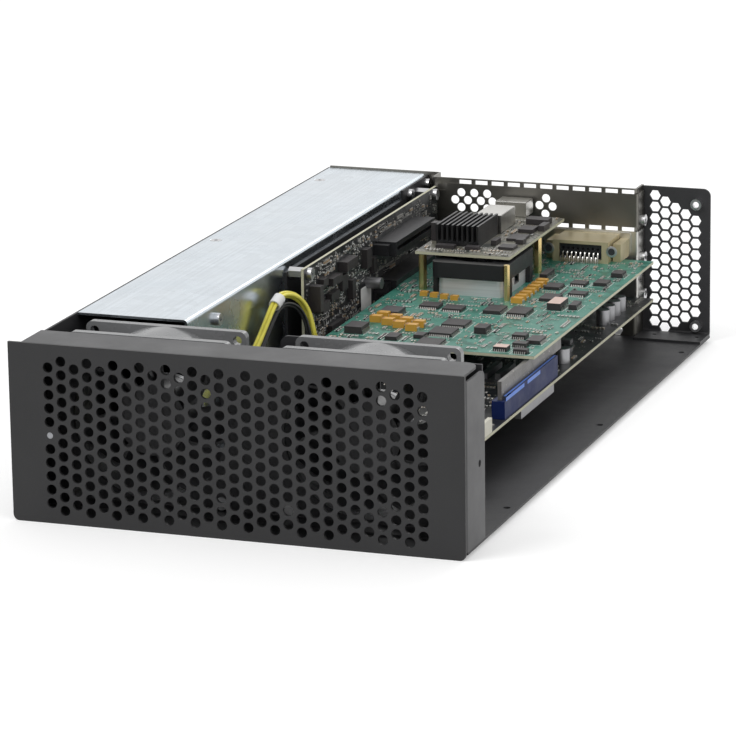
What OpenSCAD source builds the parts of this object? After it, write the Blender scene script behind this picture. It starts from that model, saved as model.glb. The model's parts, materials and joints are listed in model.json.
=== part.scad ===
// Expansion chassis for plug-in cards, opened on its right side.
// X runs to the right, Y from the bezel to the rear, Z up. Sizes in millimetres.

/* [Body] */
// Overall width across the bezel
body_w = 220; // [200:1:300]
// Overall height of the bezel
body_h = 85; // [85:1:110]
// Depth from the bezel face to the rear panel face
body_d = 414; // [400:1:520]
// Thickness of the folded chassis sheet
sheet_t = 1.2; // [1:0.1:1.6]
// Inner radius of every fold in the sheet
bend_r = 0.8; // [0.5:0.1:1.2]
// Thickness of the bezel plate
bezel_t = 1.6; // [1.2:0.1:3]
// How far the bezel stands past the left wall
bezel_side = 4; // [2:0.5:6]
// Radius of the two lower bezel corners
bezel_corner_r = 3; // [1:0.5:6]
// Height of the floor underside above the surface below
foot_h = 2; // [1.5:0.1:4]
// How far the shell top stays below the bezel top
top_drop = 1; // [0.6:0.1:2]
// Depth of the top and side flanges behind the bezel
flange_d = 26.4; // [20:0.2:26.4]

/* [Grille] */
// Diameter of the air holes in the bezel
grille_hole_d = 4.9; // [3.5:0.1:5.2]
// Distance between the hole columns
grille_pitch_x = 6.45; // [6.3:0.05:7.5]
// Distance between holes in one column
grille_pitch_z = 6.44; // [6.3:0.02:7.5]
// Plain margin left and right of the hole field
grille_margin_x = 17; // [14:0.5:30]
// Plain margin above and below the hole field
grille_margin_z = 5; // [4:0.5:12]
// Diameter of the status lamp
lamp_d = 3; // [2:0.1:4]

/* [Fans] */
// Side of each square fan housing
fan_size = 80; // [70:1:80]
// Thickness of each fan
fan_t = 25; // [20:1:26]
// Distance between the fixing holes of a fan
fan_hole_pitch = 71.5; // [62.5:0.5:71.5]
// Diameter of the fixing holes of a fan
fan_hole_d = 4.4; // [4:0.1:4.6]
// Centre of the left fan, left of the middle
fan_left_x = 53; // [50:0.5:58]
// Centre of the right fan, right of the middle
fan_right_x = 51.4; // [48:0.1:58]
// Diameter of the rotor hub
fan_hub_d = 34; // [28:1:38]
// Diameter of every fan shaft
shaft_d = 3; // [2:0.1:4]
// Gap between a blade tip and its housing
blade_gap = 0.9; // [0.6:0.1:1.5]

/* [Supply bay] */
// Width of the supply cover
bay_w = 55.6; // [55:0.2:62]
// Distance from the bezel face to the open front of the supply cover
bay_front_y = 68; // [64:1:80]
// Top of the supply cover below the shell top
bay_drop = 1; // [0.5:0.1:1.2]
// Width of the power supply
psu_w = 50; // [50:0.5:52]
// Height of the power supply
psu_h = 74; // [72:1:76]
// Length of the power supply
psu_len = 160; // [120:1:170]
// Side of the power supply fan
psu_fan_d = 38; // [34:1:38]

/* [Backplane] */
// Gap between the supply cover and the back of the slot board
board_gap = 9.4; // [9:0.1:12]
// Thickness of every circuit board
board_t = 1.6; // [1.2:0.1:2]
// Distance from the rear panel face to the front edge of the slot board
board_len = 220.5; // [210:0.5:225]
// Height of the slot board's top edge
board_top = 79.5; // [76:0.5:80.5]
// Distance between card slots
slot_pitch = 20.32; // [20.32:0.01:20.6]
// Height of the component face of the lowest card
slot_base = 27.2; // [26.4:0.1:28]
// Length of a slot connector
slot_len = 62; // [58:0.5:64]
// Distance from the rear panel face to the near end of a slot connector
slot_near = 53; // [50:0.5:56]
// How far a slot connector stands off its board
slot_h = 11.2; // [10.5:0.1:11.6]

/* [Cards] */
// Distance from the slot board to the outer edge of a card
card_w = 123; // [118:0.5:126]
// Distance from the rear panel face to the rear edge of a card
card_rear = 23; // [21:0.5:25]
// Length of the upper card
upper_len = 210; // [205:1:230]
// Length of the lower card
lower_len = 287; // [285:1:290]
// Height of the spacers under the small board
spacer_h = 18.9; // [18.5:0.1:19.5]
// Width of a card's rear bracket
bracket_w = 18; // [17:0.1:18.4]
// Thickness of a card's rear bracket
bracket_t = 0.9; // [0.8:0.05:1]

/* [Rear panel] */
// Depth of the recess that holds the card brackets
recess_d = 11.8; // [11.5:0.1:13]
// Distance from the slot board to the ledge that takes the bracket screws
ledge_x = 111; // [110:0.5:112]
// Side of the air holes in the vent panel
vent_hole_d = 6.1; // [5:0.1:6.2]
// Distance between air holes in one column
vent_pitch = 6.27; // [6.2:0.01:7]
// Height of a card window in the rear panel
window_h = 14.6; // [14:0.1:15]
// Width of the small slots between the card windows
rib_slot_w = 7; // [5:0.5:7.5]
// Height of the small slots between the card windows
rib_slot_h = 2.7; // [2:0.1:2.8]
// Distance between the small slots
rib_slot_pitch = 9.1; // [8.6:0.1:10]

/* [Hidden] */
$fn = 32;

// Small clearances that the pieces share
fit_gap = 0.05;
slip_gap = 0.2;
piece_gap = 0.3;
hair = 0.01;
fold_steps = 6;

// Screws and their heads
screw_d = 3;
screw_head_d = 6;
screw_head_h = 2.4;
drive_d = 2;
drive_depth = 1.2;

// Planes that everything else is measured from
inlet_flange_t = 1.8;
psu_pivot_depth = 3.2;
reach_d = body_d - sheet_t + inlet_flange_t;
half_w = body_w / 2;
left_x = -half_w + bezel_side;
floor_top = foot_h + sheet_t;
shell_top = body_h - top_drop;
front_in = bezel_t + sheet_t;
rear_in = body_d - sheet_t;
recess_out = body_d - recess_d;
recess_in = recess_out - sheet_t;
bracket_y = recess_in - bracket_t;

// Grille counts
grille_half = floor((half_w - grille_margin_x) / grille_pitch_x / 2) * 2;
grille_rows = floor((body_h - 2 * grille_margin_z + grille_hole_d - 1) / grille_pitch_z);
grille_mid_z = body_h / 2 - 0.6;

// Frame behind the bezel
frame_window_side = 12;
frame_window_low = 3.4;
frame_window_top = 7;
flange_low = floor_top;
flange_top = 81.5 - 84 + shell_top;
flange_corner_r = 7;
corner_relief = 2;
flange_hole_y = 19;
flange_hole_z = 39.8;
flange_hole_d = 3.4;

// Fans
fan_flange_t = 4;
fan_lift = 0.6;
fan_y = flange_d + bezel_t + sheet_t + 0.8;
fan_z = floor_top + fan_lift + fan_size / 2;
fan_corner_r = 3;
fan_wall = 2.2;
fan_bore_d = fan_size - 2 * fan_wall;
fan_post_d = 9;
fan_strut_w = 4;
fan_strut_t = 3;
fan_motor_d = fan_hub_d;
fan_hub_wall = 2;
fan_blades = 7;
fan_blade_t = 1.3;
fan_blade_twist = 34;
fan_hub_len = fan_t - fan_strut_t - 2.6;

// Wall behind the right fan that guides long cards
guide_wall_left = 49.9;
guide_wall_right = 1.4;
guide_foot = 13;
guide_wall_r = 4;

// Supply bay
bay_x = left_x + sheet_t + slip_gap;
bay_right = bay_x + bay_w;
bay_top = shell_top - bay_drop;
bay_ledge_d = 14;
bay_ledge_w = 12;
bay_screw_x = bay_x + 6.1;
bay_screw_rear = [34.3, 185.5];
bay_side_screw_y = 36;
bay_side_screw_z = bay_top - 8;
psu_x = bay_x + (bay_w - sheet_t - psu_w) / 2;
psu_wall = 2;
psu_pocket_d = 19;
psu_rotor_d = 16;
psu_inlet_x = 16.6;
psu_switch_x = 41.2;
psu_fan_x = psu_x + psu_w / 2;
psu_fan_z = floor_top + psu_h - psu_fan_d / 2 - 3;
psu_low_z = floor_top + 15;

// Slot board and cards
board_back = bay_right + board_gap;
board_x = board_back + board_t;
card_edge = board_x + card_w;
card_near = board_x + slot_h + 0.8;
card_tip = board_x + 3.2;
card_y = body_d - card_rear;
slot_y1 = body_d - slot_near;
slot_y0 = slot_y1 - slot_len;
slot_w = 7.6;
finger_end = 2.6;
ledge_out = board_x + ledge_x;
bracket_rise = 4.2;
bracket_tab = 10.4;
tongue_w = 10;
bracket_foot_x = board_x - 3;
ledge_screw_y = body_d - 7.5;
ledge_screw_drop = 6;
nose_rise = 2;
nose_out = 6.4;

// Rear panel
window_x0 = board_x + 6;
window_x1 = ledge_out - 6;
window_pass_low = 2.2;
window_pass_d = 8;
rib_rise = 9.66;
rib_mid_x = board_x + ledge_x / 2 + 5;
rib_count = floor((ledge_x - 16) / rib_slot_pitch) + 1;
rear_top = shell_top - 0.2;
jog_x = board_back - 1.6;
vent_top = shell_top - 0.7;
vent_col_pitch = 5.6;
vent_col_0 = 6.6;
vent_cols = floor((half_w - ledge_out - vent_col_0 - 2) / vent_col_pitch);
vent_first_count = floor((vent_top - floor_top - 4) / vent_pitch);
vent_drop = 4.9;
vent_corner_r = 4;
vent_flange_d = 20;
vent_nut_x = 7.3;
vent_nut_low = 5.2;
vent_nut_high = 8.3;
vent_nut_bore = 3.3;
vent_nut_d = 6;
vent_nut_t = 2.5;
low_vent_x = ledge_out - 10.6;
low_vent_rows = 2;
low_vent_cols = 8;
low_vent_z = floor_top + 2.9;

// Floor fixings
floor_hole_d = 3.4;
floor_hole_edge = 5;
floor_hole_first = 75;
floor_hole_pitch = 150;
floor_hole_count = 3;
foot_d = 12;
foot_inset = 16;
foot_inset_y = 26;

// Patterns on the blank slot cover: x from the slot board, z from the slot centre
cover_rows = [[4.3, [13, 20.3, 27.6]], [0.2, [9.5, 16.7, 24, 30.5]], [-3.8, [13, 20.3, 27.6]]];
cover_diamond = [[60.7, 3.9], [57, -0.1], [64.3, -0.4], [60.3, -4.7]];
cover_hole_d = 4.6;

// Power leads, from the supply round the cover's front edge and up to the slot board
power_route = [[-77, 252.8, 20], [-77, 240, 20], [-74, 222, 19], [-71, 204, 18], [-68, 186, 17],
  [-65.5, 168, 17], [-63, 150, 17], [-61, 132, 18], [-59.5, 114, 19], [-58.5, 98, 20.5], [-57.5, 84, 22.5],
  [-55.5, 73, 24.5], [-51, 65, 26], [-46, 63.5, 27], [-43, 69.5, 28.5], [-42.2, 81, 31], [-42.4, 96, 35],
  [-42.8, 112, 40], [-43.4, 128, 46], [-43.6, 143, 53], [-43.2, 154, 60.5], [-42.4, 162, 67.5],
  [-41.5, 170.5, 71.2], [-40.2, 180, 69.8], [-38, 187, 66], [-35.6, 190.8, 60], [-33.8, 191.4, 53],
  [-32.9, 192, 47], [-32.5, 196, 41.5], [-32.4, 201.5, 37.6], [-32.4, 206.4, 34.4], [-32.4, 206.4, 30]];
ground_route = [[-71, 252.8, 14], [-71, 240, 14], [-68.5, 222, 13.5], [-66.5, 204, 13], [-64.5, 186, 12.5],
  [-62.5, 168, 12.5], [-60.5, 150, 12.5], [-58.5, 132, 13], [-57.4, 114, 14], [-56.6, 98, 15.5],
  [-56.4, 84, 17.5], [-55, 73.5, 19.5], [-51.6, 66, 21], [-47, 64.4, 22], [-43.6, 71, 23.5],
  [-42.6, 82, 26.5], [-42.4, 97, 30.5], [-42.4, 113, 35.5], [-42.8, 130, 41.8], [-43, 145.5, 49.4],
  [-42.6, 157, 57.4], [-41.8, 165, 63.6], [-40.8, 171.8, 66.2], [-39.2, 178.4, 65.2], [-37.2, 183.6, 61.8],
  [-35.2, 186.4, 56.4], [-33.8, 187, 50.4], [-33, 188, 44.6], [-32.6, 191.5, 39.6], [-32.4, 196.5, 36.4],
  [-32.4, 200.4, 33.8], [-32.4, 200.4, 30]];
power_lead_r = 2;
ground_lead_r = 1.5;
lead_sides = 8;
// The routes are written for the model's own sizes; these keep their ends with the supply and the plug
route_bay_y = 68;
route_supply_y = 252.8;
route_board_y = 193.5;
route_bay_x = -49;
function on_route(p, near_supply) =
  let(far = near_supply ? route_supply_y : route_board_y, now = near_supply ? rear_in - psu_len : body_d - board_len,
    k = (now - bay_front_y) / (far - route_bay_y))
  [p[0] + bay_right - route_bay_x, p[1] > far ? now + p[1] - far : bay_front_y + (p[1] - route_bay_y) * k, p[2]];
function tied(route) = [for (i = [0:len(route) - 1]) on_route(route[i], i < route_turn)];
route_turn = 13;
tie_at = 21;

// Plug of the power leads on the slot board, as distances from the board's front edge
plug_y = 3.5;
plug_len = 13;
plug_z = 22;
plug_top = 30;
header_low = 12;
header_out = 11;
plug_in = 1;
plug_out = 10;

// Parts on the slot board: y from its front edge, z, length, height, stand-off
board_parts = [[7, 63, 5, 13, 6], [16, 56, 10, 5, 4], [20, 68, 7, 4, 3], [31, 66, 14, 4, 4],
  [31, 58, 12, 4, 3], [49, 70, 16, 5, 5], [50, 61, 8, 8, 2], [62, 55, 5, 10, 3], [33, 34, 18, 18, 2.2],
  [60, 30, 12, 10, 2], [84, 66, 7, 10, 3], [96, 60, 5, 8, 2.4], [24, 18, 8, 8, 3], [74, 14, 14, 6, 4]];
board_caps = [[142, 35, 8, 9], [92, 52, 6, 8], [54, 18, 8, 9], [96, 20, 8, 9]];
board_screws = [[6, 73], [6, 5.4], [198.5, 73], [198.5, 11]];
board_k = board_len / 220.5;
screw_spot_z = bay_top - 5;
screw_spots = [6, 34];
ear_len = 42;

// Parts on the upper card: x from the slot board, distance from its rear edge, width, depth, height
card_chips = [[23.6, 187, 9, 12, 3.6], [29, 149, 10, 12, 2.8],
  [42.7, 129, 10, 9, 1.6], [55.9, 131.7, 10, 9, 1.6], [76.8, 128.8, 9, 13, 1.8], [90.1, 129.3, 10, 14, 1.8],
  [67.1, 161.1, 12, 12, 1.6], [66.4, 179.4, 12, 13, 1.8], [67.1, 201.2, 12, 12, 1.6],
  [84, 171, 6, 9, 3.2], [104, 202.5, 7, 6, 2.2], [114.9, 205.4, 7, 4, 2.2], [105.6, 177.2, 7, 6, 2.2],
  [110.8, 193.3, 7, 5, 2.2], [115.3, 182.6, 7, 11, 2], [104.5, 111.8, 7, 14, 3.6], [113.3, 110.3, 4, 10, 2.6],
  [80.2, 51.6, 4, 14, 3.4], [96, 96, 9, 12, 1.6], [107, 84, 9, 7, 1.6], [90.4, 72, 8, 10, 1.6],
  [101, 62, 8, 8, 1.6], [112, 58, 7, 9, 1.8], [115, 38, 6, 8, 2.4], [58, 190, 5, 7, 2], [46, 196, 6, 9, 2]];
card_caps = [[26.5, 166, 6, 4, 3.4], [34.2, 170, 6, 4, 3.4], [27.5, 158, 6, 4, 3.4], [35.5, 162, 6, 4, 3.4],
  [41.5, 174, 6, 4, 3.4], [49.5, 178, 6, 4, 3.4], [42.5, 166, 6, 4, 3.4], [50.5, 170, 6, 4, 3.4],
  [31.5, 107, 4, 3, 2.4], [37.5, 108.5, 4, 3, 2.4], [43.5, 110, 4, 3, 2.4], [49.5, 111.5, 4, 3, 2.4],
  [82, 108, 6, 4, 2.8], [82, 101, 6, 4, 2.8], [82, 94, 6, 4, 2.8], [82, 87, 6, 4, 2.8], [82, 80, 6, 4, 2.8],
  [82, 73, 6, 4, 2.8], [82, 66, 6, 4, 2.8]];

// Cooler on the upper card
cooler_x = 34;
cooler_v = 56;
cooler_w = 41;
cooler_d = 48;
cooler_base_z = 9.2;
cooler_top_z = 17.4;
cooler_inset = 2.4;
cooler_corner_r = 4;
cooler_fins = 9;
cooler_fin_gap = 2.2;
cooler_floor_t = 2.4;
cooler_bore_d = 37;
cooler_fan_hub_d = 16;
cooler_blades = 9;

// Small board over the upper card: x from the slot board, v from the card's rear edge
small_x = 23;
small_w = 51;
small_v = 1;
small_d = 95;
small_fins = 9;
small_sink = [6, 46, 23, 33];
small_sink_h = 11;
small_fin_t = 1.1;
small_sink_base = 2.4;
cage = [16, 20, 14, 24, 9.6];
small_parts = [[0.2, 70, 2.6, 5.4, 9.5], [3, 70, 2.6, 5.4, 9.5], [38, 60, 9, 12, 1.4], [40, 80, 8, 8, 1.4],
  [38, 40, 8, 10, 2], [36, 20, 12, 8, 3], [14, 4, 17, 12, 8], [47, 34, 3.4, 10, 3], [33.4, 72, 3, 8, 2.6],
  [8, 86, 10, 4.6, 1.8], [24, 86, 7, 4.6, 1.8], [45, 66, 4, 6, 2.4]];
spacer_spots = [[3, 92], [49, 41], [37, 6], [3, 4]];
brass_spot = [75.4, 105.2];
spacer_d = 4.4;

// Port on the upper card
port_x = 65;
port_w = 43;
port_h = 12.5;
port_flange_t = 1;
port_body_d = 22;
port_core_w = 23;
port_core_h = 7.6;
port_core_d = 12;
port_mid = board_x + port_x + port_w / 2;
port_nose_w = 27.6;
port_nose_h = 8.2;
port_ear_d = 4.4;
lug_w = 8;
lug_d = 14;
lug_t = 1;
lug_spots = [34, 58];

// Lower card: x from the slot board, v from the card's rear edge
socket_x = 115.6;
socket_v = 169;
socket_len = 85;
socket_w = 6.6;
socket_h = 10.8;
socket_slot_w = 2.4;
socket_slot_d = 8;
module_v = 156;
module_len = 95;
module_t = 2;
module_h = 18;
stiff_v = 178;
stiff_len = 53;
stiff_h = 4;
stiff_t = 3;
lower_parts = [[96, 172, 3, 24, 3], [103, 172, 3, 24, 3], [89, 172, 3, 24, 3], [60, 120, 30, 30, 2.4],
  [100, 118, 6, 8, 2], [112, 122, 5, 7, 2.2], [106, 104, 7, 5, 2], [60, 60, 18, 14, 2], [30, 90, 12, 12, 2],
  [30, 40, 14, 20, 3], [90, 90, 14, 10, 2], [50, 20, 30, 12, 8]];
lower_caps = [[113, 30, 7, 7.6], [113, 40, 7, 7.6], [113, 50, 7, 7.6], [113, 60, 7, 7.6],
  [116, 142, 8, 7.4]];
guide_len = 11;
guide_w = 4;
guide_h = 7;

// Host link board and its ports
link_x = 0;
link_w = 46;
link_d = 52;
link_z = floor_top + 6;
link_ports_x = [14, 30];
link_port_w = 9;
link_port_h = 3.3;
link_port_d = 9;
link_leg_d = 5;

// Fold and sheet helpers
function unit(v) = v / norm(v);
function slot_z(k) = slot_base + k * slot_pitch + bracket_rise;
function card_z(k) = slot_base + k * slot_pitch;

module place() {
  translate([0, -reach_d / 2, 0]) children();
}
module slab_x(x, t) {
  translate([x, 0, 0]) rotate([90, 0, 90]) linear_extrude(t) children();
}
module slab_y(y, t) {
  translate([0, y + t, 0]) rotate([90, 0, 0]) linear_extrude(t) children();
}
module slab_z(z, t) {
  translate([0, 0, z]) linear_extrude(t) children();
}
module rect(x0, y0, x1, y1) {
  translate([x0, y0]) square([x1 - x0, y1 - y0]);
}
module round_rect(x0, y0, x1, y1, r) {
  rect(x0 + r, y0, x1 - r, y1);
  rect(x0, y0 + r, x1, y1 - r);
  for (x = [x0 + r, x1 - r]) for (y = [y0 + r, y1 - r]) translate([x, y]) circle(r);
}
// Corner of a plate taken off in a round; sx and sy say which corner
module corner_cut(x, y, sx, sy, r) {
  difference() {
    translate([x - (sx > 0 ? r : 1), y - (sy > 0 ? r : 1)]) square(r + 1);
    translate([x - sx * r, y - sy * r]) circle(r);
  }
}
// Points along one side of a folded sheet; way is 1 for its left side and -1 for its right
function side_points(pts, t, r, way) =
  let(last = len(pts) - 1, d0 = unit(pts[1] - pts[0]), d9 = unit(pts[last] - pts[last - 1]))
  concat([pts[0] + way * t / 2 * [-d0[1], d0[0]]],
    [for (i = [1:last - 1])
      let(d1 = unit(pts[i] - pts[i - 1]), d2 = unit(pts[i + 1] - pts[i]), rc = r + t / 2,
        c = pts[i] - rc * d1 + rc * d2, q = rc - way * sign(d1[0] * d2[1] - d1[1] * d2[0]) * t / 2)
      for (k = [0:fold_steps]) c + q * (sin(90 * k / fold_steps) * d1 - cos(90 * k / fold_steps) * d2)],
    [pts[last] + way * t / 2 * [-d9[1], d9[0]]]);
// A folded sheet through the square corners given, drawn along its middle line
module folded(pts, t, r) {
  left = side_points(pts, t, r, 1);
  right = side_points(pts, t, r, -1);
  polygon(concat(left, [for (i = [len(right) - 1:-1:0]) right[i]]));
}
module box(p, s) {
  translate(p) cube(s);
}
module rod_y(x, y, z, d, l) {
  translate([x, y + l, z]) rotate([90, 0, 0]) cylinder(d = d, h = l);
}
module rod_x(x, y, z, d, l) {
  translate([x, y, z]) rotate([0, 90, 0]) cylinder(d = d, h = l);
}
module rod_z(x, y, z, d, l) {
  translate([x, y, z]) cylinder(d = d, h = l);
}
// Pan-head screw that enters along -X; its head sits on the face at x
module screw_x(x, y, z, l) {
  difference() {
    union() {
      rod_x(x, y, z, screw_head_d, screw_head_h);
      rod_x(x - l, y, z, screw_d, l + hair);
    }
    translate([x + screw_head_h - drive_depth, y, z]) rotate([0, 90, 0]) cylinder(d = drive_d, h = drive_depth + 1, $fn = 6);
  }
}

// Front
module grille_holes() {
  for (c = [-grille_half:grille_half]) {
    n = grille_rows - 1 + (c + grille_half) % 2;
    for (k = [0:n - 1]) {
      z = grille_mid_z + (k - (n - 1) / 2) * grille_pitch_z;
      d = c == -grille_half && 2 * k == n - 1 ? lamp_d + 2 * fit_gap : grille_hole_d;
      translate([c * grille_pitch_x, z]) circle(d = d, $fn = 24);
    }
  }
}
module bezel_plate() {
  color([0.2, 0.2, 0.21]) place() slab_y(0, bezel_t) difference() {
    rect(-half_w, 0, half_w, body_h);
    corner_cut(-half_w, 0, -1, -1, bezel_corner_r);
    corner_cut(half_w, 0, 1, -1, bezel_corner_r);
    grille_holes();
  }
}
module status_lamp() {
  color([0.8, 0.82, 0.85]) place() {
    rod_y(-grille_half * grille_pitch_x, 0.2, grille_mid_z, lamp_d, bezel_t - 0.2 + hair);
    rod_y(-grille_half * grille_pitch_x, bezel_t, grille_mid_z, lamp_d + 1.6, 1);
  }
}
module front_frame() {
  yc = bezel_t + sheet_t / 2;
  zc = shell_top - sheet_t / 2;
  xc = half_w - sheet_t / 2;
  ye = bezel_t + flange_d;
  wx = grille_half * grille_pitch_x + grille_hole_d / 2 + 2;
  wz = (grille_rows - 1) / 2 * grille_pitch_z + grille_hole_d / 2 + 0.3;
  color([0.62, 0.62, 0.64]) place() difference() {
    union() {
      difference() {
        slab_x(left_x + 0.5, half_w - corner_relief - left_x - 0.5) folded([[yc, foot_h], [yc, zc], [ye, zc]], sheet_t, bend_r);
        slab_z(shell_top - sheet_t - 0.1, sheet_t + 1) corner_cut(half_w - corner_relief, ye, 1, 1, flange_corner_r);
      }
      difference() {
        slab_z(flange_low, flange_top - flange_low)
          folded([[half_w - 8, yc], [xc, yc], [xc, ye]], sheet_t, bend_r);
        slab_x(half_w - sheet_t - 1, sheet_t + 2) corner_cut(ye, flange_top, 1, 1, corner_relief * 2);
      }
    }
    slab_y(bezel_t - 1, sheet_t + 2) rect(-wx, grille_mid_z - wz, wx, grille_mid_z + wz);
    rod_x(half_w - sheet_t - 1, bezel_t + flange_hole_y, flange_hole_z, flange_hole_d, sheet_t + 2);
  }
}

// Floor, feet
module floor_tray() {
  zc = foot_h + sheet_t / 2;
  xc = left_x + sheet_t / 2;
  wall_top = shell_top - sheet_t;
  ledge_z = bay_top - 2 * sheet_t;
  color([0.16, 0.16, 0.17]) place() difference() {
    union() {
      slab_y(front_in, body_d - front_in)
        folded([[half_w, zc], [xc, zc], [xc, wall_top]], sheet_t, bend_r);
      for (v = bay_screw_rear)
        box([left_x + sheet_t - hair, body_d - v - bay_ledge_d / 2, ledge_z], [bay_ledge_w, bay_ledge_d, sheet_t]);
    }
    for (k = [0:floor_hole_count - 1])
      rod_z(half_w - floor_hole_edge, floor_hole_first + k * floor_hole_pitch, foot_h - 1, floor_hole_d, sheet_t + 2);
    for (v = bay_screw_rear) rod_z(bay_screw_x, body_d - v, ledge_z - 1, screw_d + 2 * fit_gap, sheet_t + 2);
  }
}
module rubber_feet() {
  color([0.08, 0.08, 0.08]) place() for (x = [left_x + foot_inset, half_w - foot_inset])
    for (y = [foot_inset_y, body_d - foot_inset_y]) rod_z(x, y, 0, foot_d, foot_h);
}

// Rear
module rib_slots(z) {
  for (k = [0:rib_count - 1]) {
    x = rib_mid_x + (k - (rib_count - 1) / 2) * rib_slot_pitch;
    rect(x - rib_slot_w / 2, z - rib_slot_h / 2, x + rib_slot_w / 2, z + rib_slot_h / 2);
  }
}
module rear_panel() {
  yo = body_d - sheet_t / 2;
  yi = recess_out - sheet_t / 2;
  xl = ledge_out - sheet_t / 2;
  color([0.5, 0.5, 0.46]) place() difference() {
    slab_z(floor_top, rear_top - floor_top)
      folded([[left_x + sheet_t, yo], [jog_x, yo], [jog_x, yi], [xl, yi], [xl, body_d]], sheet_t, bend_r);
    slab_y(recess_in - 1, sheet_t + 2) {
      for (k = [0:2]) {
        rect(window_x0, slot_z(k) - window_h / 2, window_x1, slot_z(k) + window_h / 2);
        rect(window_x1 - hair, slot_z(k) - window_pass_low, ledge_out + 1, slot_z(k) + window_h / 2);
        rib_slots(slot_z(k) + rib_rise);
      }
      rib_slots(slot_z(0) + rib_rise - slot_pitch);
      for (i = [0:low_vent_cols - 1]) for (j = [0:low_vent_rows - 1])
        translate([low_vent_x - i * vent_col_pitch, low_vent_z + (j + (i % 2) / 2) * vent_pitch])
          circle(d = vent_hole_d, $fn = 6);
      for (x = link_ports_x) translate([board_x + link_x + x, link_z + board_t + link_port_h / 2])
        rect(-link_port_w / 2 - slip_gap, -link_port_h / 2 - slip_gap, link_port_w / 2 + slip_gap,
          link_port_h / 2 + slip_gap);
    }
    for (k = [0:2]) {
      slab_x(window_x1, ledge_out + 1 - window_x1)
        rect(recess_in - 1, slot_z(k) - window_pass_low, recess_in + window_pass_d, slot_z(k) + window_h / 2);
      rod_x(ledge_out - sheet_t - 1, ledge_screw_y, slot_z(k) - ledge_screw_drop, screw_d + 2 * fit_gap, sheet_t + 2);
    }
    slab_y(rear_in - 1, sheet_t + 2) rect(psu_x + 1, floor_top + 1, psu_x + psu_w - 1, floor_top + psu_h - 1);
  }
}
module vent_panel() {
  yc = body_d - sheet_t / 2;
  zc = floor_top + sheet_t / 2;
  color([0.22, 0.22, 0.23]) place() difference() {
    slab_x(ledge_out, half_w - ledge_out)
      folded([[body_d - vent_flange_d, zc], [yc, zc], [yc, vent_top]], sheet_t, bend_r);
    slab_y(rear_in - 1, sheet_t + 2) {
      corner_cut(half_w, vent_top, 1, 1, vent_corner_r);
      for (j = [0:vent_cols - 1]) for (k = [0:vent_first_count - 1 - max(j - 1, 0)])
        translate([ledge_out + vent_col_0 + j * vent_col_pitch, vent_top - vent_drop - (k + j / 2) * vent_pitch])
          circle(d = vent_hole_d, $fn = 6);
      for (z = [floor_top + vent_nut_low, vent_top - vent_nut_high])
        translate([half_w - vent_nut_x, z]) circle(d = vent_nut_bore + 1);
    }
    for (x = [ledge_out + 9, half_w - 4.7])
      rod_z(x, body_d - 10, floor_top - 1, floor_hole_d - 1, sheet_t + 2);
  }
}
module vent_panel_nuts() {
  color([0.7, 0.7, 0.72]) place() for (z = [floor_top + vent_nut_low, vent_top - vent_nut_high]) difference() {
    rod_y(half_w - vent_nut_x, rear_in - vent_nut_t, z, vent_nut_d, vent_nut_t);
    rod_y(half_w - vent_nut_x, rear_in - vent_nut_t - 1, z, vent_nut_bore, vent_nut_t + 2);
  }
}
// Bracket blank shared by the slot cover and the two cards
module bracket_blank(k) {
  yc = bracket_y + bracket_t / 2;
  xc = ledge_out + bracket_t / 2;
  z0 = slot_z(k) - bracket_w / 2;
  difference() {
    slab_z(z0, bracket_w)
      folded([[bracket_foot_x, yc], [xc, yc], [xc, bracket_y + bracket_t + bracket_tab]], bracket_t, bracket_t / 3);
    slab_y(bracket_y - 1, bracket_t + 2) for (s = [-1, 1])
      translate([0, slot_z(k)]) rect(bracket_foot_x - 1, s > 0 ? tongue_w / 2 : -bracket_w, board_x + 4,
        s > 0 ? bracket_w : -tongue_w / 2);
    rod_x(ledge_out - 1, ledge_screw_y, slot_z(k) - ledge_screw_drop, screw_d + 2 * fit_gap, bracket_t + 2);
  }
}
module ledge_screw(k) {
  screw_x(ledge_out + bracket_t, ledge_screw_y, slot_z(k) - ledge_screw_drop, 5);
}
module slot_cover() {
  color([0.55, 0.54, 0.48]) place() difference() {
    bracket_blank(2);
    slab_y(bracket_y - 1, bracket_t + 2) translate([board_x, slot_z(2)]) {
      for (r = cover_rows) for (x = r[1]) translate([x, r[0]]) circle(d = cover_hole_d);
      for (p = cover_diamond) translate(p) circle(d = cover_hole_d);
    }
  }
}
module slot_cover_screw() {
  color([0.75, 0.75, 0.77]) place() ledge_screw(2);
}

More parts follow.
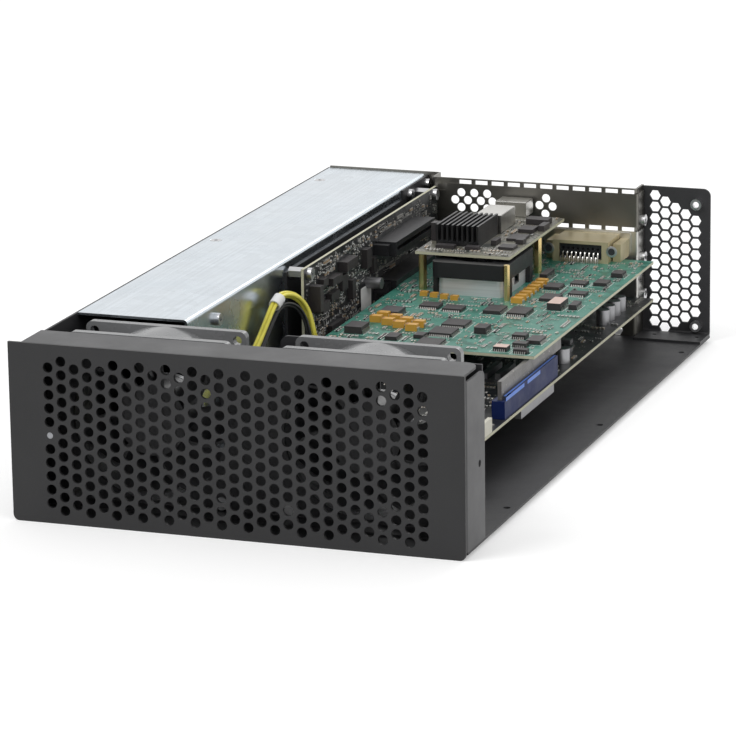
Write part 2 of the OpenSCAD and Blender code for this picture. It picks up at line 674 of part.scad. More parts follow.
// Fans
module fan_bracket() {
  yc = fan_y - sheet_t / 2;
  zc = floor_top + sheet_t / 2;
  x0 = left_x + sheet_t + slip_gap;
  x1 = half_w - sheet_t - slip_gap;
  color([0.6, 0.6, 0.62]) place() difference() {
    slab_x(x0, x1 - x0) folded([[fan_y - 14, zc], [yc, zc], [yc, fan_z + fan_size / 2 - 0.6]], sheet_t, bend_r);
    slab_y(fan_y - sheet_t - 1, sheet_t + 2) for (x = [-fan_left_x, fan_right_x]) translate([x, fan_z]) {
      circle(d = fan_bore_d);
      fan_corner_spots() circle(d = fan_hole_d);
    }
  }
}
module fan_corner_spots() {
  for (x = [-1, 1]) for (z = [-1, 1]) translate([x * fan_hole_pitch / 2, z * fan_hole_pitch / 2]) children();
}
module fan_housing(x) {
  h = fan_size / 2;
  translate([x, fan_y, fan_z]) {
    for (y = [0, fan_t - fan_flange_t]) slab_y(y, fan_flange_t) difference() {
      round_rect(-h, -h, h, h, fan_corner_r);
      circle(d = fan_bore_d, $fn = 64);
      fan_corner_spots() circle(d = fan_hole_d);
    }
    slab_y(fan_flange_t, fan_t - 2 * fan_flange_t) difference() {
      circle(d = fan_size, $fn = 64);
      circle(d = fan_bore_d, $fn = 64);
    }
    difference() {
      union() {
        slab_y(fan_t - fan_strut_t, fan_strut_t) {
          circle(d = fan_motor_d);
          for (a = [35:90:305]) rotate(a) rect(0, -fan_strut_w / 2, fan_bore_d / 2 + 0.6, fan_strut_w / 2);
        }
        rod_y(0, fan_t - fan_strut_t - 13, 0, fan_post_d, 13 + hair);
        rod_y(0, fan_t - fan_strut_t - 9, 0, fan_motor_d - 2 * fan_hub_wall - 3, 7);
      }
      rod_y(0, fan_t - fan_strut_t - 14, 0, shaft_d + 2 * fit_gap, 13);
    }
  }
}
// Swept fan blade: the root lies at r0, the tip at r1, and it leans back as it rises
function sweep_at(r0, r1, s) = 22 * pow(s, 1.4);
module blade(r0, r1, w, h, twist, steps, cuts) {
  pts = [for (s = [0:steps]) let(q = s / steps, r = r0 + (r1 - r0) * q, a = sweep_at(r0, r1, q)) [r * cos(a), r * sin(a)]];
  wide = [for (s = [0:steps]) let(q = s / steps, r = r0 + (r1 - r0) * q, a = sweep_at(r0, r1, q))
    [r * cos(a), r * sin(a)] + w * (1 - 0.35 * q) * [-sin(a), cos(a)]];
  linear_extrude(height = h, twist = twist, slices = cuts, segments = 0, $fn = 5)
    polygon(concat(pts, [for (s = [steps:-1:0]) wide[s]]));
}
module fan_rotor(x) {
  y1 = fan_t - fan_strut_t - 0.6;
  y0 = y1 - fan_hub_len;
  hub_r = fan_hub_d / 2;
  translate([x, fan_y, fan_z]) {
    difference() {
      rod_y(0, y0, 0, fan_hub_d, fan_hub_len);
      rod_y(0, y0 + fan_hub_wall, 0, fan_hub_d - 2 * fan_hub_wall, fan_hub_len);
    }
    rod_y(0, y0 + fan_hub_wall - hair, 0, shaft_d, fan_hub_len - 5);
    for (k = [0:fan_blades - 1]) translate([0, y1 - 0.8, 0]) rotate([90, 0, 0]) rotate(k * 360 / fan_blades)
      blade(hub_r - 0.6, fan_bore_d / 2 - blade_gap, fan_blade_t * 2, fan_hub_len - 1.6, fan_blade_twist, 4, 6);
  }
}
module left_fan_housing() {
  color([0.68, 0.69, 0.7]) place() fan_housing(-fan_left_x);
}
module right_fan_housing() {
  color([0.68, 0.69, 0.7]) place() fan_housing(fan_right_x);
}
module left_fan_rotor() {
  color([0.3, 0.3, 0.32]) place() fan_rotor(-fan_left_x);
}
module right_fan_rotor() {
  color([0.3, 0.3, 0.32]) place() fan_rotor(fan_right_x);
}
module fan_screws() {
  color([0.3, 0.3, 0.3]) place() for (x = [-fan_left_x, fan_right_x]) translate([x, 0, fan_z])
    for (i = [-1, 1]) for (j = [-1, 1]) translate([i * fan_hole_pitch / 2, 0, j * fan_hole_pitch / 2]) {
      rod_y(0, fan_y - sheet_t - screw_head_h + 0.4, 0, fan_hole_d + 1.8, screw_head_h - 0.4);
      rod_y(0, fan_y - sheet_t - hair, 0, fan_hole_d - 0.5, fan_flange_t + sheet_t);
    }
}
module card_guide_bracket() {
  yc = fan_y + fan_t + 3;
  zc = floor_top + sheet_t / 2;
  x0 = fan_right_x - guide_wall_left;
  x1 = fan_right_x - guide_wall_right;
  color([0.2, 0.2, 0.21]) place() difference() {
    slab_x(x0, x1 - x0) folded([[yc + guide_foot, zc], [yc, zc], [yc, bay_top - 1]], sheet_t, bend_r);
    slab_y(yc - sheet_t, 2 * sheet_t) {
      corner_cut(x0, bay_top - 1, -1, 1, guide_wall_r);
      corner_cut(x1, bay_top - 1, 1, 1, guide_wall_r);
    }
  }
}

// Supply bay
module bay_cover() {
  zc = bay_top - sheet_t / 2;
  xc = bay_right - sheet_t / 2;
  color([0.8, 0.84, 0.88]) place() difference() {
    slab_y(bay_front_y, rear_in - bay_front_y) folded([[bay_x, zc], [xc, zc], [xc, floor_top]], sheet_t, bend_r);
    for (v = bay_screw_rear) translate([bay_screw_x, body_d - v, bay_top - sheet_t]) {
      translate([0, 0, -1]) cylinder(d = screw_d + 2 * fit_gap, h = sheet_t + 2);
      cylinder(d1 = screw_d + 2 * fit_gap, d2 = screw_head_d + 0.4, h = sheet_t);
    }
    rod_x(bay_right - sheet_t - 1, bay_front_y + bay_side_screw_y, bay_side_screw_z, screw_d + 2 * fit_gap, sheet_t + 2);
    for (v = screw_spots)
      rod_x(bay_right - sheet_t - 1, body_d - v, screw_spot_z, screw_d + 2 * fit_gap, sheet_t + 2);
  }
}
module bay_cover_screws() {
  color([0.85, 0.86, 0.88]) place() {
    for (v = bay_screw_rear) translate([bay_screw_x, body_d - v, bay_top - sheet_t]) difference() {
      union() {
        translate([0, 0, fit_gap]) cylinder(d1 = screw_d, d2 = screw_head_d, h = sheet_t - fit_gap);
        translate([0, 0, -4]) cylinder(d = screw_d, h = 4 + 2 * fit_gap);
      }
      translate([0, 0, sheet_t - 0.8]) cylinder(d = drive_d, h = 1, $fn = 6);
    }
    screw_x(bay_right, bay_front_y + bay_side_screw_y, bay_side_screw_z, 4);
  }
}
module psu_case() {
  y0 = rear_in - psu_len;
  fx = psu_fan_x;
  color([0.72, 0.73, 0.75]) place() {
    difference() {
      box([psu_x, y0, floor_top], [psu_w, psu_len, psu_h]);
      rod_y(fx, rear_in - psu_pocket_d, psu_fan_z, psu_fan_d, psu_pocket_d + 1);
      box([psu_x + psu_inlet_x - 13.7, rear_in - 22, psu_low_z - 9.9], [27.4, 23, 19.8]);
      box([psu_x + psu_switch_x - 6.4, rear_in - 15, psu_low_z - 9.7], [12.8, 16, 19.4]);
      for (k = [0:8]) box([psu_x + 5 + k * 4.8, y0 - 1, floor_top + 24], [2.2, 3, 44]);
      for (k = [0:11]) box([psu_x + psu_w - 2, y0 + 20 + k * 8, floor_top + 16], [3, 3, 40]);
    }
    difference() {
      rod_y(fx, rear_in - psu_pocket_d - hair, psu_fan_z, 7, 11);
      rod_y(fx, rear_in - psu_pocket_d + 1, psu_fan_z, shaft_d + 2 * fit_gap, 11);
    }
  }
}
module psu_fan_rotor() {
  hub = psu_fan_d * 0.45;
  y0 = rear_in - psu_rotor_d;
  color([0.12, 0.12, 0.13]) place() translate([psu_fan_x, 0, psu_fan_z]) {
    difference() {
      rod_y(0, y0, 0, hub, 14);
      rod_y(0, y0 - 1, 0, hub - 3, 13);
    }
    rod_y(0, y0 + 1, 0, shaft_d, 11 + hair);
    for (k = [0:6]) translate([0, y0 + 13.4, 0]) rotate([90, 0, 0]) rotate(k * 360 / 7)
      blade(hub / 2 - 0.5, psu_fan_d / 2 - blade_gap, 1.6, 12.6, 40, 3, 5);
  }
}
module psu_fan_guard() {
  r = psu_fan_d / 2;
  color([0.8, 0.8, 0.82]) place() translate([psu_fan_x, 0, psu_fan_z]) slab_y(rear_in, 1.2) {
    for (q = [r + 2, r - 4, r - 9.4]) difference() {
      circle(q);
      circle(q - 1.6);
    }
    circle(4);
    for (a = [45:90:315]) rotate(a) rect(3, -0.9, r + 1.4, 0.9);
    for (x = [-1, 1]) for (z = [-1, 1]) difference() {
      translate([x * 16, z * 16]) circle(3.4);
      circle(r + 1);
    }
  }
}
module psu_inlet() {
  x = psu_x + psu_inlet_x;
  color([0.07, 0.07, 0.08]) place() translate([x, 0, psu_low_z]) {
    difference() {
      union() {
        slab_y(rear_in, inlet_flange_t) round_rect(-15, -11, 15, 11, 2);
        box([-13.5, rear_in - 19, -9.6], [27, 19 + hair, 19.2]);
      }
      slab_y(rear_in - 15, 18) difference() {
        rect(-12, -8, 12, 8);
        for (s = [-1, 1]) translate([s * 12, 8]) rotate(45) square(7, center = true);
      }
    }
    for (p = [[-7, -2], [0, 2], [7, -2]]) box([p[0] - 1, rear_in - 15 - hair, p[1] - 2], [2, 13, 4]);
  }
}
module psu_switch_frame() {
  x = psu_x + psu_switch_x;
  color([0.08, 0.08, 0.09]) place() translate([x, 0, psu_low_z]) difference() {
    union() {
      slab_y(rear_in, 1.2) round_rect(-7.4, -11, 7.4, 11, 1);
      box([-6.2, rear_in - 14, -9.5], [12.4, 14 + hair, 19]);
    }
    box([-4.8, rear_in - 12.4, -8.7], [9.6, 15, 17.4]);
    rod_x(-5.9, rear_in - psu_pivot_depth, 0, 2 + 2 * fit_gap, 11.8);
  }
}
module psu_switch() {
  x = psu_x + psu_switch_x;
  color([0.1, 0.1, 0.11]) place() translate([x, rear_in - psu_pivot_depth, psu_low_z]) rotate([8, 0, 0]) {
    slab_x(-4.5, 9) intersection() {
      polygon([[-4, -5], [3.2, -7.4], [2, 0], [3.2, 7.4], [-4, 5]]);
      circle(8.2);
    }
    rod_x(-5.7, 0, 0, 2, 11.4);
  }
}

// Slot board and what stands on it
module backplane_bracket() {
  zc = floor_top + sheet_t / 2;
  xc = bay_right + sheet_t / 2;
  y0 = body_d - board_len + 2;
  color([0.14, 0.14, 0.15]) place() difference() {
    union() {
      slab_y(y0, rear_in - y0) folded([[jog_x - sheet_t / 2 - slip_gap, zc], [xc, zc], [xc, board_top - 2.5]], sheet_t, bend_r);
      box([bay_right, rear_in - ear_len, board_top - 4], [sheet_t, ear_len, bay_top - board_top + 3]);
    }
    for (v = screw_spots)
      rod_x(bay_right - 1, body_d - v, screw_spot_z, screw_d + 2 * fit_gap, sheet_t + 2);
  }
}
module backplane_board() {
  y0 = body_d - board_len;
  color([0.05, 0.05, 0.06]) place() slab_x(board_back, board_t) difference() {
    rect(y0, floor_top + 3, body_d - 16, board_top);
    for (p = board_screws) translate([y0 + p[0] * board_k, p[1] + floor_top]) circle(d = screw_d + 2 * fit_gap);
  }
}
module backplane_screws() {
  y0 = body_d - board_len;
  color([0.8, 0.8, 0.78]) place() {
    for (p = board_screws) translate([0, y0 + p[0] * board_k, p[1] + floor_top]) {
      translate([bay_right + sheet_t, 0, 0]) rotate([0, 90, 0])
        cylinder(d = 6, h = board_gap - sheet_t, $fn = 6);
      screw_x(board_x, 0, 0, board_t + 1);
    }
    for (v = screw_spots) screw_x(bay_right + sheet_t, body_d - v, screw_spot_z, 4);
  }
}
module slot_connectors() {
  color([0.07, 0.07, 0.08]) place() for (k = [0:2]) {
    z = card_z(k) - board_t / 2;
    difference() {
      box([board_x, slot_y0, z - slot_w / 2], [slot_h, slot_len, slot_w]);
      box([board_x + 2.4, slot_y0 + finger_end - slip_gap, z - board_t / 2 - slip_gap],
        [slot_h, slot_len - 2 * finger_end + 2 * slip_gap, board_t + 2 * slip_gap]);
    }
    box([board_x, slot_y0 - 4, z - slot_w / 2 + 1], [slot_h - 3, 4 + hair, slot_w - 2]);
  }
}
module backplane_chips() {
  color([0.55, 0.56, 0.58]) place() for (p = board_parts)
    box([board_x, body_d - board_len + p[0] * board_k, p[1] - p[3] / 2], [p[4], p[2], p[3]]);
}
module backplane_capacitors() {
  color([0.75, 0.75, 0.76]) place() for (p = board_caps)
    rod_x(board_x, body_d - board_len + p[0] * board_k, p[1], p[2], p[3]);
}
module power_header() {
  y = body_d - board_len + plug_y;
  color([0.85, 0.84, 0.78]) place() difference() {
    box([board_x, y - 1.4, header_low], [header_out, plug_len + 2.8, plug_z - header_low]);
    box([board_x + plug_in, y + 0.6, plug_z - 5], [plug_out - plug_in, plug_len - 1.2, 6]);
  }
}
module power_plug() {
  y = body_d - board_len + plug_y;
  color([0.9, 0.89, 0.84]) place() {
    box([board_x + plug_in, y, plug_z], [plug_out - plug_in, plug_len, plug_top - plug_z]);
    box([board_x + plug_in + slip_gap, y + 0.6 + slip_gap, plug_z - 4.8],
      [plug_out - plug_in - 2 * slip_gap, plug_len - 1.2 - 2 * slip_gap, 4.8 + hair]);
  }
}

// Leads, swept as one tube along a chain of points
function heading(p, i) = i == 0 ? unit(p[1] - p[0]) : i == len(p) - 1 ? unit(p[i] - p[i - 1])
  : unit(unit(p[i + 1] - p[i]) + unit(p[i] - p[i - 1]));
function sides(p, i, n) = i == len(p) ? [] : let(t = heading(p, i), m = unit(n - (n * t) * t))
  concat([m], sides(p, i + 1, m));
module lead(p, r, k) {
  n = len(p);
  s = sides(p, 0, [0, 0, 1]);
  pts = [for (i = [0:n - 1]) let(b = cross(heading(p, i), s[i])) for (j = [0:k - 1])
    p[i] + r * (cos(360 * j / k) * s[i] + sin(360 * j / k) * b)];
  walls = [for (i = [0:n - 2]) for (j = [0:k - 1]) let(a = i * k + j, c = i * k + (j + 1) % k)
    each [[a, a + k, c + k], [a, c + k, c]]];
  polyhedron(pts, concat(walls, [for (j = [1:k - 2]) [0, j, j + 1]],
    [for (j = [1:k - 2]) [(n - 1) * k, (n - 1) * k + j + 1, (n - 1) * k + j]]));
}
module power_leads() {
  color([0.95, 0.9, 0.3]) place() lead(tied(power_route), power_lead_r, lead_sides);
}
module ground_leads() {
  color([0.1, 0.1, 0.1]) place() lead(tied(ground_route), ground_lead_r, lead_sides);
}
module lead_tie() {
  a = tied(power_route)[tie_at];
  b = tied(power_route)[tie_at + 1];
  t = unit(b - a);
  turn = atan2(t[0], t[1]);
  rise = asin(t[2]);
  color([0.95, 0.95, 0.95]) place() translate((a + b) / 2) rotate([0, 0, -turn]) rotate([rise + 90, 0, 0])
    difference() {
      cylinder(r = power_lead_r + 1, h = 6.4, center = true);
      cylinder(r = power_lead_r + piece_gap, h = 8, center = true);
    }
}

// Host link
module link_board() {
  y0 = recess_in - 3 - link_d;
  color([0.05, 0.15, 0.1]) place() {
    box([board_x + link_x, y0, link_z], [link_w, link_d, board_t]);
    for (x = [7, link_w - 6]) for (y = [6, link_d - 8])
      translate([board_x + link_x + x, y0 + y, floor_top]) cylinder(d = link_leg_d, h = link_z - floor_top, $fn = 6);
    box([board_x + 20, y0 + 8, link_z + board_t - hair], [12, 12, 1.6]);
  }
}
module link_ports() {
  color([0.75, 0.76, 0.78]) place() for (x = link_ports_x)
    translate([board_x + link_x + x, 0, link_z + board_t + link_port_h / 2])
      slab_y(recess_out - link_port_d, link_port_d) difference() {
        rect(-link_port_w / 2, -link_port_h / 2, link_port_w / 2, link_port_h / 2);
        round_rect(-link_port_w / 2 + 0.4, -link_port_h / 2 + 0.4, link_port_w / 2 - 0.4, link_port_h / 2 - 0.4, 1.2);
        }
}

// Upper card
module card_plate(k, len) {
  slab_z(card_z(k) - board_t, board_t) {
    rect(card_near, card_y - len, card_edge, card_y);
    rect(card_tip, slot_y0 + finger_end, card_near + hair, slot_y1 - finger_end);
  }
}
module on_card(k, p) {
  translate([board_x + p[0], card_y - p[1], card_z(k)]) children();
}
module card_blocks(k, list) {
  for (p = list) on_card(k, p) translate([-p[2] / 2, -p[3] / 2, 0]) cube([p[2], p[3], p[4]]);
}
module upper_card_board() {
  color([0.1, 0.42, 0.33]) place() difference() {
    card_plate(1, upper_len);
    for (p = [[5 + slot_h, upper_len - 5], [card_w - 5, upper_len - 5], [card_w - 5, 6]])
      on_card(1, p) translate([0, 0, -board_t - 1]) cylinder(d = screw_d, h = board_t + 2);
  }
}
module card_bracket(k) {
  bracket_blank(k);
  for (x = lug_spots) translate([board_x + x - lug_w / 2, 0, card_z(k)])
    box([0, bracket_y - lug_d, 0], [lug_w, lug_d + hair, lug_t]);
}
module upper_card_bracket() {
  color([0.78, 0.78, 0.76]) place() difference() {
    card_bracket(1);
    slab_y(bracket_y - 1, bracket_t + 2) translate([port_mid, card_z(1) + port_h / 2])
      port_nose(slip_gap);
  }
}
module upper_bracket_screw() {
  color([0.75, 0.75, 0.77]) place() ledge_screw(1);
}
module port_nose(grow) {
  w = port_nose_w / 2 + grow;
  h = port_nose_h / 2 + grow;
  polygon([[-w, h], [w, h], [w - 1.2, -h], [-w + 1.2, -h]]);
}
module upper_card_port() {
  body_y = bracket_y - port_body_d;
  color([0.86, 0.8, 0.6]) place() translate([port_mid, 0, card_z(1)]) difference() {
    union() {
      box([-port_nose_w / 2 - 1.5, body_y, 0], [port_nose_w + 3, port_body_d - port_flange_t, port_h - 1]);
      for (s = [-1, 1]) box([s * (port_w / 2 - port_ear_d / 2 - 1) - port_ear_d / 2, body_y + 6, 0],
        [port_ear_d, port_body_d - 6 - port_flange_t, port_h - 3]);
    }
    box([-port_core_w / 2 - slip_gap, body_y - 1, 2 - slip_gap],
      [port_core_w + 2 * slip_gap, port_core_d + 1, port_core_h + 2 * slip_gap]);
  }
}
module upper_port_shell() {
  color([0.86, 0.8, 0.6]) place() translate([port_mid, 0, card_z(1)]) {
    slab_y(bracket_y - port_flange_t, port_flange_t) difference() {
      round_rect(-port_w / 2, lug_t, port_w / 2, port_h, 1.2);
      for (s = [-1, 1]) translate([s * (port_w / 2 - 4), port_h / 2 + 0.5]) circle(d = screw_d);
      translate([0, port_h / 2]) port_nose(-0.6);
    }
    slab_y(bracket_y - hair, nose_out + bracket_t) translate([0, port_h / 2]) difference() {
      port_nose(0);
      port_nose(-0.6);
    }
  }
}
module upper_card_port_core() {
  color([0.16, 0.13, 0.15]) place() translate([port_mid, 0, card_z(1)]) difference() {
    box([-port_core_w / 2, bracket_y - port_body_d + 1, 2], [port_core_w, port_core_d - 1, port_core_h]);
    for (k = [0:7]) for (z = [4, 7.2]) rod_y(-port_core_w / 2 + 2 + k * 2.7, bracket_y - port_body_d, z, 1.4, 3);
  }
}
module upper_card_chips() {
  color([0.12, 0.12, 0.13]) place() card_blocks(1, card_chips);
}
module upper_card_capacitors() {
  color([0.85, 0.6, 0.2]) place() card_blocks(1, card_caps);
}
module cooler_plan(inset) {
  round_rect(inset, inset, cooler_w - inset, cooler_d - inset, cooler_corner_r);
}
module at_cooler() {
  on_card(1, [cooler_x, cooler_v + cooler_d]) children();
}
module upper_card_heatsink() {
  mid = cooler_w / 2;
  color([0.6, 0.6, 0.62]) place() at_cooler() difference() {
    linear_extrude(cooler_base_z) cooler_plan(cooler_inset);
    for (k = [0:cooler_fins - 1])
      translate([mid + (k - (cooler_fins - 1) / 2) * (cooler_fin_gap + 1.4) - cooler_fin_gap / 2, 6, cooler_floor_t])
        cube([cooler_fin_gap, cooler_d - 12, cooler_base_z]);
    translate([mid, cooler_d / 2, 3]) cylinder(d = cooler_bore_d, h = cooler_base_z);
  }
}
module upper_card_fan_frame() {
  z0 = cooler_base_z;
  h = cooler_top_z - z0;
  color([0.06, 0.06, 0.07]) place() at_cooler() {
    difference() {
      union() {
        translate([0, 0, z0]) linear_extrude(h) difference() {
          cooler_plan(0);
          translate([cooler_w / 2, cooler_d / 2]) circle(d = cooler_bore_d);
        }
        translate([0, 0, z0]) linear_extrude(1.6) {
          translate([cooler_w / 2, cooler_d / 2]) circle(d = cooler_fan_hub_d);
          for (a = [20:120:260]) translate([cooler_w / 2, cooler_d / 2]) rotate(a)
            rect(0, -1.2, cooler_bore_d / 2 + 1, 1.2);
        }
        for (x = [0, cooler_w - cooler_inset]) for (y = [cooler_corner_r, cooler_d - cooler_corner_r - 5])
          translate([x, y, 0]) cube([cooler_inset, 5, z0 + hair]);
        translate([cooler_w / 2, cooler_d / 2, z0]) cylinder(d = 6, h = 5);
      }
      translate([cooler_w / 2, cooler_d / 2, z0 + 0.6]) cylinder(d = shaft_d + 2 * fit_gap, h = 6);
    }
  }
}
module upper_card_fan_rotor() {
  z0 = cooler_base_z + 2.2;
  h = cooler_top_z - z0 - 0.4;
  hub = cooler_fan_hub_d;
  color([0.1, 0.1, 0.11]) place() at_cooler() translate([cooler_w / 2, cooler_d / 2, z0]) {
    difference() {
      cylinder(d = hub, h = h);
      translate([0, 0, -1]) cylinder(d = hub - 3, h = h);
    }
    translate([0, 0, -1]) cylinder(d = shaft_d, h = h + 0.5);
    for (k = [0:cooler_blades - 1]) rotate(k * 360 / cooler_blades) translate([0, 0, 0.3])
      blade(hub / 2 - 0.5, cooler_bore_d / 2 - blade_gap, 1.5, h - 0.6, 26, 3, 3);
  }
}
module card_spacers() {
  color([0.8, 0.65, 0.3]) place() {
    for (p = spacer_spots) on_card(1, [small_x + p[0], small_v + p[1]])
      cylinder(d = spacer_d, h = spacer_h, $fn = 6);
    on_card(1, brass_spot) cylinder(d = spacer_d - 1.2, h = spacer_h - 0.4, $fn = 6);
  }
}
module on_small(p) {
  translate([board_x + small_x + p[0], card_y - small_v - p[1], card_z(1) + spacer_h + board_t]) children();
}
module small_board() {
  color([0.3, 0.32, 0.22]) place() on_small([0, small_d]) translate([0, 0, -board_t])
    cube([small_w, small_d, board_t]);
}
module small_board_heatsink() {
  s = small_sink;
  gap = (s[2] - small_fin_t) / (small_fins - 1);
  color([0.05, 0.05, 0.06]) place() on_small([s[0], s[1] + s[3]]) {
    cube([s[2], s[3], small_sink_base]);
    for (k = [0:small_fins - 1]) translate([k * gap, 0, 0]) cube([small_fin_t, s[3], small_sink_h]);
  }
}
module small_board_parts() {
  color([0.75, 0.74, 0.7]) place() {
    on_small([cage[0], cage[1] + cage[3]]) cube([cage[2], cage[3], cage[4]]);
    for (p = small_parts) on_small(p) cube([p[2], p[3], p[4]]);
  }
}

// Lower card
module lower_card_board() {
  color([0.05, 0.05, 0.06]) place() difference() {
    card_plate(0, lower_len);
    for (v = [5, lower_len - 30]) on_card(0, [card_w - 22, v]) translate([0, 0, -board_t - 1])
      cylinder(d = screw_d, h = board_t + 2);
  }
}
module lower_card_bracket() {
  color([0.78, 0.78, 0.76]) place() difference() {
    card_bracket(0);
    slab_y(bracket_y - 1, bracket_t + 2) for (k = [0:7]) for (s = [-1, 1])
      translate([board_x + 24 + k * 9, slot_z(0) + 1.4 + s * 2.6]) rect(0, -1, 6, 1);
  }
}
module lower_bracket_screw() {
  color([0.75, 0.75, 0.77]) place() ledge_screw(0);
}
module lower_card_socket() {
  color([0.12, 0.25, 0.6]) place() on_card(0, [socket_x, socket_v + socket_len]) difference() {
    union() {
      cube([socket_w, socket_len, socket_h - 2]);
      translate([0, 10, 0]) cube([socket_w, socket_len - 10, socket_h]);
    }
    translate([socket_w / 2 - socket_slot_w / 2, 2, socket_h - socket_slot_d])
      cube([socket_slot_w, socket_len - 4, socket_slot_d + 1]);
  }
}
module lower_card_module() {
  t = socket_slot_w - 2 * slip_gap;
  low = socket_h - socket_slot_d;
  color([0.35, 0.34, 0.35]) place() on_card(0, [socket_x + socket_w / 2 - t / 2, 0]) {
    translate([0, -socket_v - socket_len + 2 + slip_gap, low])
      cube([t, socket_len - 4 - 2 * slip_gap, module_h - low]);
    translate([0, -module_v - module_len, socket_h + slip_gap])
      cube([t, module_len, module_h - socket_h - slip_gap]);
  }
}
module lower_card_parts() {
  color([0.6, 0.6, 0.62]) place() {
    for (p = lower_parts) on_card(0, p) translate([-p[2] / 2, -p[3] / 2, 0]) cube([p[2], p[3], p[4]]);
    for (p = lower_caps) on_card(0, p) cylinder(d = p[2], h = p[3]);
    on_card(0, [card_w - stiff_t, stiff_v + stiff_len]) translate([0, 0, -board_t - stiff_h])
      cube([stiff_t, stiff_len, stiff_h]);
  }
}
module lower_card_guide() {
  color([0.85, 0.84, 0.78]) place() on_card(0, [card_w - guide_w, lower_len]) difference() {
    cube([guide_w, guide_len, guide_h]);
    translate([-1, 3, 2]) cube([guide_w - 1, guide_len, guide_h]);
  }
}

bezel_plate();
front_frame();
status_lamp();
floor_tray();
rubber_feet();
rear_panel();
vent_panel();
vent_panel_nuts();
slot_cover();
slot_cover_screw();
fan_bracket();
left_fan_housing();
left_fan_rotor();
right_fan_housing();
right_fan_rotor();
fan_screws();
card_guide_bracket();
bay_cover();
bay_cover_screws();
psu_case();
psu_fan_rotor();
psu_fan_guard();
psu_inlet();
psu_switch_frame();
psu_switch();
backplane_bracket();
backplane_board();
backplane_screws();
slot_connectors();
backplane_chips();
backplane_capacitors();
power_header();
power_plug();
power_leads();
ground_leads();
lead_tie();
link_board();
link_ports();
upper_card_board();
upper_card_bracket();
upper_bracket_screw();
upper_card_port();
upper_port_shell();
upper_card_port_core();
upper_card_chips();
upper_card_capacitors();
upper_card_heatsink();
upper_card_fan_frame();
upper_card_fan_rotor();
card_spacers();
small_board();
small_board_heatsink();
small_board_parts();
lower_card_board();
lower_card_bracket();
lower_bracket_screw();
lower_card_socket();
lower_card_module();
lower_card_parts();
lower_card_guide();
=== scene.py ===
import json
import math
import random

import bmesh
import bpy
from mathutils import Matrix, Vector


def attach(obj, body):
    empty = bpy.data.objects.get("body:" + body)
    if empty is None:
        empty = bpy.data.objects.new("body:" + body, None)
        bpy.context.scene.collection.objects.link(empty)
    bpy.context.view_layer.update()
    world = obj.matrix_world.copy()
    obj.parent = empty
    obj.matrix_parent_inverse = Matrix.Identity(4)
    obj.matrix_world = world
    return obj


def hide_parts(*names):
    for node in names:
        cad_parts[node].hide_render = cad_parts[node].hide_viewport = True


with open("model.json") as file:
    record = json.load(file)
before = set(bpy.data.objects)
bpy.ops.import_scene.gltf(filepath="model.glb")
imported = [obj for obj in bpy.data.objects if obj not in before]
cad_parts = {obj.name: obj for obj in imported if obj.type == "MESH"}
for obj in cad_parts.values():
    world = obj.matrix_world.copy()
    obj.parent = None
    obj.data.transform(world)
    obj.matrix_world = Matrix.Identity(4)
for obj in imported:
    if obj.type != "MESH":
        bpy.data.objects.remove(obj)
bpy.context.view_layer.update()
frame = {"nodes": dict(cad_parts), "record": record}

# Lengths are written in millimetres from the middle of the bezel face, as in the part's source.
MM = 0.001
REACH = 414.6


def at(x, y, z):
    """Point of the shared frame, from millimetres."""
    return Vector((x * MM, (y - REACH / 2) * MM, z * MM))


# ---- camera: fitted to the photo, with its lens in millimetres ----
AZIMUTH = math.radians(19.899)
ELEVATION = math.radians(14.633)
ROLL = math.radians(-0.812)
LENS = 202.9
SENSOR_WIDTH = 36
FARTHEST = 20
CAMERA_AT = (0.66996, -1.87846, 0.54962)


def make_camera():
    back = Vector((math.sin(AZIMUTH) * math.cos(ELEVATION), -math.cos(AZIMUTH) * math.cos(ELEVATION),
                   math.sin(ELEVATION)))
    right = Vector((math.cos(AZIMUTH), math.sin(AZIMUTH), 0))
    up = back.cross(right)
    side = math.cos(ROLL) * right + math.sin(ROLL) * up
    top = -math.sin(ROLL) * right + math.cos(ROLL) * up
    data = bpy.data.cameras.new("camera")
    data.lens = LENS
    data.sensor_width = SENSOR_WIDTH
    data.clip_end = FARTHEST
    cam = bpy.data.objects.new("camera", data)
    bpy.context.scene.collection.objects.link(cam)
    turn = Matrix((side, top, back)).transposed().to_4x4()
    cam.matrix_world = Matrix.Translation(Vector(CAMERA_AT)) @ turn
    bpy.context.scene.camera = cam
    bpy.context.scene.view_settings.view_transform = "Standard"


# ---- materials ----
# Inputs of the colour mixing node, and its output.
MIX_A, MIX_B, MIX_OUT = 6, 7, 2


